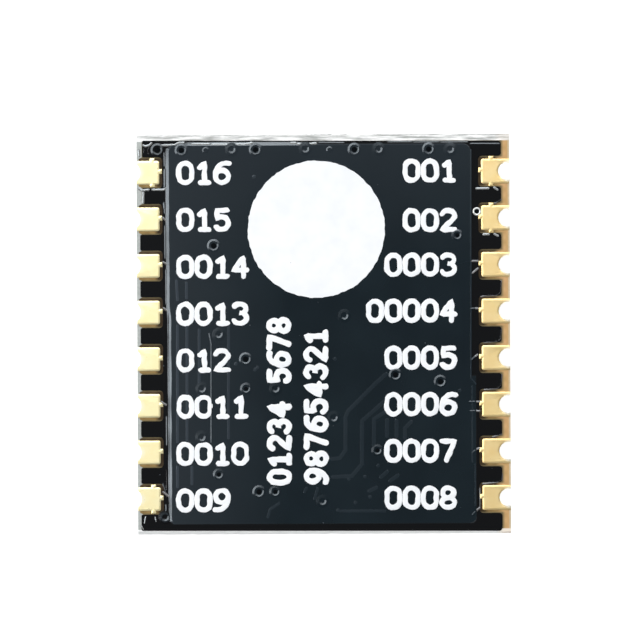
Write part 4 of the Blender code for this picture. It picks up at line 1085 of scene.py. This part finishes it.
# %% Lines on the left and the right
outer_lines = (
    ((470.5, 143.8), (485, 143.8), (499.5, 143.8)),
    ((319, 142.6), (344, 142.9)),
    ((388, 142.2), (412, 142.0)),
    ((414, 142.4), (439, 142.1)),
    ((441, 142.4), (467.5, 142.0)),
    ((164.4, 153), (164.7, 166)),
    ((164.6, 203), (164.9, 213)),
    ((165.2, 226), (165.4, 258)),
    ((166.2, 270), (166.4, 304)),
    ((166.8, 417), (167.0, 445)),
    ((163.2, 484), (166.2, 492)),
    ((166.2, 505), (166.4, 511)),
)
bright_outer_lines = (
    ((164.8, 169.5), (164.9, 187)),
    ((164.3, 203), (164.5, 208)),
)
faint_borders = (
    ((470.8, 150), (470.8, 260)),
    ((471.0, 262), (471.0, 378), (475.9, 384)),
    ((472.4, 386), (472.6, 462)),
    ((475.3, 464), (475.6, 505)),
)

add_ridges(
    "outer_lines", lacquer, 20.0,
    (outer_lines, 0.04 * MM, 0.0115 * MM, TONGUE_TOP, ROOF),
    (bright_outer_lines, 0.055 * MM, 0.0158 * MM, TONGUE_TOP, ROOF),
)
add_ridges("copper_border", thin_lacquer, 60.0, (faint_borders, 0.03 * MM, 0.0032 * MM, PLATEAU_TOP))

# %% [markdown]
# ## Lips and frayed corners
# Round the openings the lacquer draws back and leaves a thin raised lip. Where it faces the lamps it
# shows as a white line, and elsewhere as a fine grey one; both lines are painted too, with a pale grey
# base colour as painted highlight. At the upper left corner the lacquer is torn and curled, and at the
# lower left one bare splotches of glass cloth show through. The curls share the lips' pale grey.

# %% Lips
white_lips = (
    ((476.5, 188.4), (488.5, 188.2)),
    ((494.2, 187.4), (497.4, 189.6)),
    ((483.5, 234.4), (488.8, 234.2)),
    ((494.5, 234.0), (498.0, 235.8)),
    ((138.6, 188.6), (141.6, 190.4), (148.6, 189.7)),
    ((152.2, 189.7), (163.4, 189.7), (166.6, 187.2)),
    ((143.4, 192.5), (143.1, 203)),
    ((143.2, 145.2), (145.3, 146.1), (149.1, 145.3), (151.3, 143.2)),
    ((162, 145.3), (174.4, 144.9), (179, 142.7), (183.5, 142.6)),
)
grey_lips = (
    ((481, 296.4), (486, 295.6), (497, 295.2), (500.4, 292), (501.2, 281)),
    ((484, 342.4), (497, 341.4), (500.6, 338.6), (501.4, 329)),
    ((484.5, 389.6), (497.5, 388.4), (501, 385), (501.8, 375)),
    ((495, 203), (501, 199.5)),
    ((483, 483.8), (497, 482.2), (501.8, 480.3), (502.3, 474)),
    ((493, 437), (501.5, 434)),
    ((479.9, 488.5), (479.7, 507)),
    ((143.8, 147.8), (143.5, 152.5)),
    ((148.8, 147.5), (147.4, 150.5), (148.4, 154)),
    ((166.2, 470), (166.4, 497)),
)
crest_lips = (
    ((192, 144.1), (209, 144.0)),
    ((212, 144.5), (230, 144.6), (246, 144.2), (252, 142.9)),
    ((291, 143.0), (295.5, 142.8)),
    ((297.5, 144.1), (309, 143.9), (316, 143.2)),
)
curls = (
    ((138.6, 150), (139.2, 156)),
    ((145.5, 517), (144.5, 523)),
    ((155.2, 517.5), (156, 521)),
    ((141.5, 526), (143.2, 529)),
)
LIP_LEVEL = BACK_FACE + 0.022 * MM
CREST_LEVEL = PLATEAU_TOP - 0.012 * MM

# The lips, curls and crest lines have a pale grey base: painted highlight
add_ridges(
    "lacquer_lips", lip_lacquer, 20.0,
    (white_lips, 0.045 * MM, 0.013 * MM, TONGUE_TOP, ROOF),
    (curls, 0.05 * MM, 0.0143 * MM, LIP_LEVEL, ROOF),
    (crest_lips, 0.05 * MM, 0.0143 * MM, CREST_LEVEL, ROOF),
)
# The grey lips take the thin lacquer's pale grey low tone: painted highlight
add_ridges("lacquer_fringe", thin_lacquer, 20.0, (grey_lips, 0.032 * MM, 0.009 * MM, LIP_LEVEL, ROOF))

# %% [markdown]
# ## Covered holes
# Small plated holes carry the ground from face to face. The lacquer covers them and sinks into most,
# which leaves a faint collar, a funnel that catches the light on its lower side, and a well with a drop
# of lacquer in the middle; the well is a near-black disc, painted shade down the hole. Others are
# shallow and show only the lit part of the funnel, and filled ones stand up as low bumps or mere dots,
# which catch it on their upper side. One of each kind is turned from its profile by a full spin, and
# the rest are copies.

# %% Where the covered holes are
deep_holes = (
    (157.2, 149.9), (181.2, 150.2), (255.5, 149.7), (354.3, 149.4), (428.6, 149.0), (213.6, 245.7),
    (245.6, 359), (259, 491.8), (395.5, 374.6), (440.5, 381.4),
)
small_holes = (
    (457.2, 235), (246, 388.6), (275.2, 491.6), (218.8, 474.3), (377.3, 450.2),
)
shallow_holes = (
    (231.6, 149.6), (305.4, 148.8), (378.7, 149.0), (450.2, 149.2), (344.4, 315.8), (218.8, 334.2),
    (202, 388.7), (201.8, 437.3), (333.8, 417.6), (322.6, 501.2), (275.6, 388.7), (165.2, 517.4),
)
dots = (
    (254, 176.8), (235.9, 363.8), (255, 369.8), (257.3, 367.6), (378.2, 465.6), (364.9, 476.8),
    (348.9, 479), (370.2, 497), (355.5, 502.5), (338.1, 510.2), (459.8, 390.6), (335, 359),
)
bumps = ((205.5, 150.2), (329.5, 149.6))
print("holes, bumps and dots", [len(kind) for kind in (deep_holes, small_holes, shallow_holes, bumps, dots)])

# %% Helpers for turned shapes
TURNS = 36
PLATEAU_X = (-6.6 * MM, 6.3 * MM)
PLATEAU_Y = (-8.1 * MM, 8.1 * MM)


def turned(outline):
    """A mesh turned about the vertical from an outline of radii and heights in millimetres."""
    shape = bmesh.new()
    points = [shape.verts.new((radius * MM, 0.0, height * MM)) for radius, height in outline]
    edges = [shape.edges.new(pair) for pair in zip(points, points[1:])]
    bmesh.ops.spin(
        shape, geom=points + edges, cent=(0.0, 0.0, 0.0), axis=(0.0, 0.0, 1.0),
        angle=math.tau, steps=TURNS, use_merge=True,
    )
    bmesh.ops.remove_doubles(shape, verts=shape.verts, dist=WELD / 4.0)
    bmesh.ops.recalc_face_normals(shape, faces=shape.faces)
    if sum(face.normal.z for face in shape.faces) < 0.0:
        bmesh.ops.reverse_faces(shape, faces=shape.faces)
    mesh = bpy.data.meshes.new("turned")
    shape.to_mesh(mesh)
    shape.free()
    return mesh


def stamped(mesh, places):
    """Copies of a small mesh at several places."""
    whole = bmesh.new()
    for place in places:
        before = len(whole.verts)
        whole.from_mesh(mesh)
        whole.verts.ensure_lookup_table()
        bmesh.ops.translate(whole, verts=whole.verts[before:], vec=place)
    return whole


def lacquer_places(pixels):
    """Pixels as places on the lacquer: on the plateau over the copper, or beside it."""
    places = []
    for pixel in pixels:
        x, y = spot(*pixel)
        on_plateau = within(x, PLATEAU_X) and within(y, PLATEAU_Y)
        places.append((x, y, PLATEAU_TOP if on_plateau else TONGUE_TOP))
    return places


def collar_outline(crest, height, run, well):
    """A gentle outer slope, a crest, a funnel, and an almost level floor round the well."""
    return ((crest + run, -0.001), (crest, height), (well, 0.003), (0.0, 0.001))


print("turned in steps", TURNS)

# %% Collars, dots and wells
WELL_OUTLINE = ((0.0, 0.010), (0.022, 0.009), (0.05, 0.003), (0.10, 0.004), (0.12, 0.002))
SMALL_WELL = 0.75

kinds = (
    (deep_holes, collar_outline(0.205, 0.021, 0.085, 0.145)),
    (small_holes, collar_outline(0.170, 0.020, 0.09, 0.115)),
    (shallow_holes, collar_outline(0.160, 0.024, 0.14, 0.085)),
    (bumps, ((0.0, 0.0155), (0.09, 0.0145), (0.145, -0.001))),
)
collars = joined([stamped(turned(outline), lacquer_places(pixels)) for pixels, outline in kinds])
add_piece("hole_collars", collars, collar_lacquer, sharp=9.0)
dot = turned(((0.0, 0.010), (0.035, 0.009), (0.08, -0.001)))
# The dots use the thin lacquer's paler tone: thinner lacquer over the filled holes, and partly a painted
# highlight
add_piece("filled_dots", stamped(dot, lacquer_places(dots)), thin_lacquer)
well = turned(WELL_OUTLINE)
small_well = turned([(radius * SMALL_WELL, height) for radius, height in WELL_OUTLINE])
# The wells are near-black discs: painted shade down the holes
wells = joined([
    stamped(well, lacquer_places(deep_holes)),
    stamped(small_well, lacquer_places(small_holes)),
])
add_piece("hole_wells", wells, painted_shade_well)

# %% [markdown]
# ## One open hole
# Beside the second terminal on the right a plated hole falls in the opening, so its bright rim shows.
# Its inside is the same near-black disc, painted shade down the hole.

# %% Open hole
OPEN_HOLE = (476.9, 211.4)
RIM_OUTLINE = ((0.18, 0.0), (0.17, 0.010), (0.145, 0.015), (0.115, 0.010), (0.10, 0.0))

open_place = lacquer_places([OPEN_HOLE])
add_piece("open_hole_rim", stamped(turned(RIM_OUTLINE), open_place), solder, sharp=60.0)
add_piece("open_hole_well", stamped(well, open_place), painted_shade_well)

# %% [markdown]
# ## Printed disc
# A large white disc is printed near the upper middle. Screen printing leaves a slightly ragged border,
# so the corners of a many-sided plate are moved in and out a little.

# %% Printed disc
INK = 0.012 * MM
DISC_RADIUS = 2.94 * MM
DISC_MIDDLE = (316.3, 229.2)
DISC_CORNERS = 260
DISC_SLOPE = 0.006 * MM
RAGGED = 0.035 * MM
RAGS_PER_MM = 4.5


def ragged(shape, amount):
    """Move a shape's corners sideways by a fine noise, the same from top to bottom."""
    for corner in shape.verts:
        here = Vector((corner.co.x, corner.co.y, 0.0)) / MM * RAGS_PER_MM
        corner.co.x += amount * noise.noise(here)
        corner.co.y += amount * noise.noise(here + Vector((9.0, 4.0, 0.0)))


disc = bmesh.new()
bmesh.ops.create_cone(
    disc, cap_ends=True, cap_tris=True, segments=DISC_CORNERS,
    radius1=DISC_RADIUS, radius2=DISC_RADIUS - DISC_SLOPE, depth=INK,
)
bmesh.ops.translate(disc, verts=disc.verts, vec=(*spot(*DISC_MIDDLE), PLATEAU_TOP + INK / 2.0))
ragged(disc, RAGGED)
add_piece("printed_disc", disc, ink, sharp=30.0)


# %% [markdown]
# ## Figures
# The terminals carry plain numbers in a stroke letter, drawn with one round pen. Each figure is a few
# strokes on a grid four wide and eight high, with its round parts given as bows. The pen is the same
# pressed tube as the traces, and its rounded ends give the soft corners of such print.

# %% Pen strokes of the figures
GRID_WIDTH = 4.0
GRID_HEIGHT = 8.0
BOW_STEP = 18.0


def bow(x, y, across, up, start, end):
    """Points along part of an oval, between two angles in degrees."""
    count = max(2, round(abs(end - start) / BOW_STEP))
    angles = [math.radians(start + (end - start) * index / count) for index in range(count + 1)]
    return [(x + across * math.cos(angle), y + up * math.sin(angle)) for angle in angles]


six = bow(3.4, 3.2, 3.4, 4.8, 75, 180) + bow(2.0, 2.5, 2.0, 2.5, 180, 540)
figure_strokes = {
    "0": (bow(2, 5.4, 2, 2.6, 0, 180) + bow(2, 2.6, 2, 2.6, 180, 360) + [(4, 5.4)],),
    "1": (((0.8, 6.2), (2.3, 7.8), (2.3, 0)), ((1.0, 0), (3.6, 0))),
    "2": (bow(2, 5.9, 2, 2.1, 160, -35) + [(0.1, 0.1), (4, 0)],),
    "3": (bow(1.9, 6.1, 1.9, 1.9, 150, -80) + bow(1.9, 2.2, 2.1, 2.2, 80, -150),),
    "4": (((3.0, 0), (3.0, 7.9), (0, 2.6), (4, 2.6)),),
    "5": ([(3.7, 7.9), (0.5, 7.9)] + bow(1.9, 2.6, 2.1, 2.6, 132, -145),),
    "6": (six,),
    "7": (((0, 7.9), (4, 7.9), (1.4, 0)),),
    "8": (bow(2, 6.0, 1.75, 2.0, -90, 270), bow(2, 2.0, 2, 2.0, 90, 450)),
    "9": ([(4 - x, 8 - y) for x, y in six],),
}
print("figures", "".join(figure_strokes))


# %% Numbers beside the terminals
def written(text, start, turn, cap, width, step):
    """Strokes of figures that start at a place and run in a direction, in metres."""
    paths = []
    along = Vector((math.cos(turn), math.sin(turn)))
    upward = Vector((-math.sin(turn), math.cos(turn)))
    for index, figure in enumerate(text):
        if figure == " ":
            continue
        corner = start + along * (index * step)
        for stroke in figure_strokes[figure]:
            paths.append([
                corner + along * (width * x / GRID_WIDTH) + upward * (cap * y / GRID_HEIGHT)
                for x, y in stroke
            ])
    return paths


def add_print(name, strokes, pen):
    """One piece of white print, drawn along its strokes with a round pen."""
    shape = ridge_shape(strokes, pen, INK, PLATEAU_TOP)
    ragged(shape, RAGGED)
    add_piece(name, shape, ink, sharp=80.0)


PEN = 0.11 * MM
CAP = 0.83 * MM
WIDTH = 0.555 * MM
STEP = 0.785 * MM
LEFT_START = 176.2
RIGHT_END = 457.3
LEFT_ROWS = (173, 220, 267, 314, 360.5, 407, 454, 500.5)
RIGHT_ROWS = (170.5, 220, 264.5, 310.5, 357.5, 404, 450.5, 497.5)
LEFT_COUNTS = (3, 3, 4, 4, 3, 4, 4, 3)
RIGHT_COUNTS = (3, 3, 4, 5, 4, 4, 4, 4)

numbers = []
for index, (left_row, right_row) in enumerate(zip(LEFT_ROWS, RIGHT_ROWS)):
    left_start = spot(LEFT_START, left_row) + Vector((PEN, -CAP / 2.0))
    numbers += written(str(16 - index).zfill(LEFT_COUNTS[index]), left_start, 0.0, CAP, WIDTH, STEP)
    span = (RIGHT_COUNTS[index] - 1) * STEP + WIDTH + PEN
    right_start = spot(RIGHT_END, right_row) - Vector((span, CAP / 2.0))
    numbers += written(str(1 + index).zfill(RIGHT_COUNTS[index]), right_start, 0.0, CAP, WIDTH, STEP)
add_print("terminal_numbers", numbers, PEN)

# %% [markdown]
# ## Upright numbers
# Two lines of bolder print run up the middle of the board. Their places hold plain figures, written
# with the same strokes and a wider pen.

# %% Upright numbers
BOLD_PEN = 0.125 * MM
BOLD_CAP = 0.84 * MM
BOLD_WIDTH = 0.47 * MM
UPWARDS = math.radians(90.0)
UPRIGHT_LINES = (
    ("01234 5678", (289.3, 482.5), 0.722 * MM),
    ("987654321", (326.2, 481.5), 0.745 * MM),
)

upright = []
for figures, start, bold_step in UPRIGHT_LINES:
    upright += written(figures, spot(*start), UPWARDS, BOLD_CAP, BOLD_WIDTH, bold_step)
add_print("upright_numbers", upright, BOLD_PEN)

# %% [markdown]
# ## Shield can
# The can is one sheet folded over a form. Shearing and folding leave small radii on its edges.

# %% Shield can
can = welded_copy("shield_can")
soften(can, 0.02 * MM)
add_piece("tinned_can", can, tinplate, "shield_can", keep_flat=True)

# %% [markdown]
# ## Antenna socket
# The socket is a turned ring on two straps round a centre pin, all gold plated, in a cream base.

# %% Antenna socket
for node, material, slot_name, width in (
    ("socket_shell", gold, "gold_plating", 0.012 * MM),
    ("socket_contact", gold, "gold_plating", 0.012 * MM),
    ("socket_insulator", cream, "socket_moulding", 0.025 * MM),
):
    shape = welded_copy(node)
    soften(shape, width)
    add_piece(f"dressed_{node}", shape, material, node, keep_flat=True)
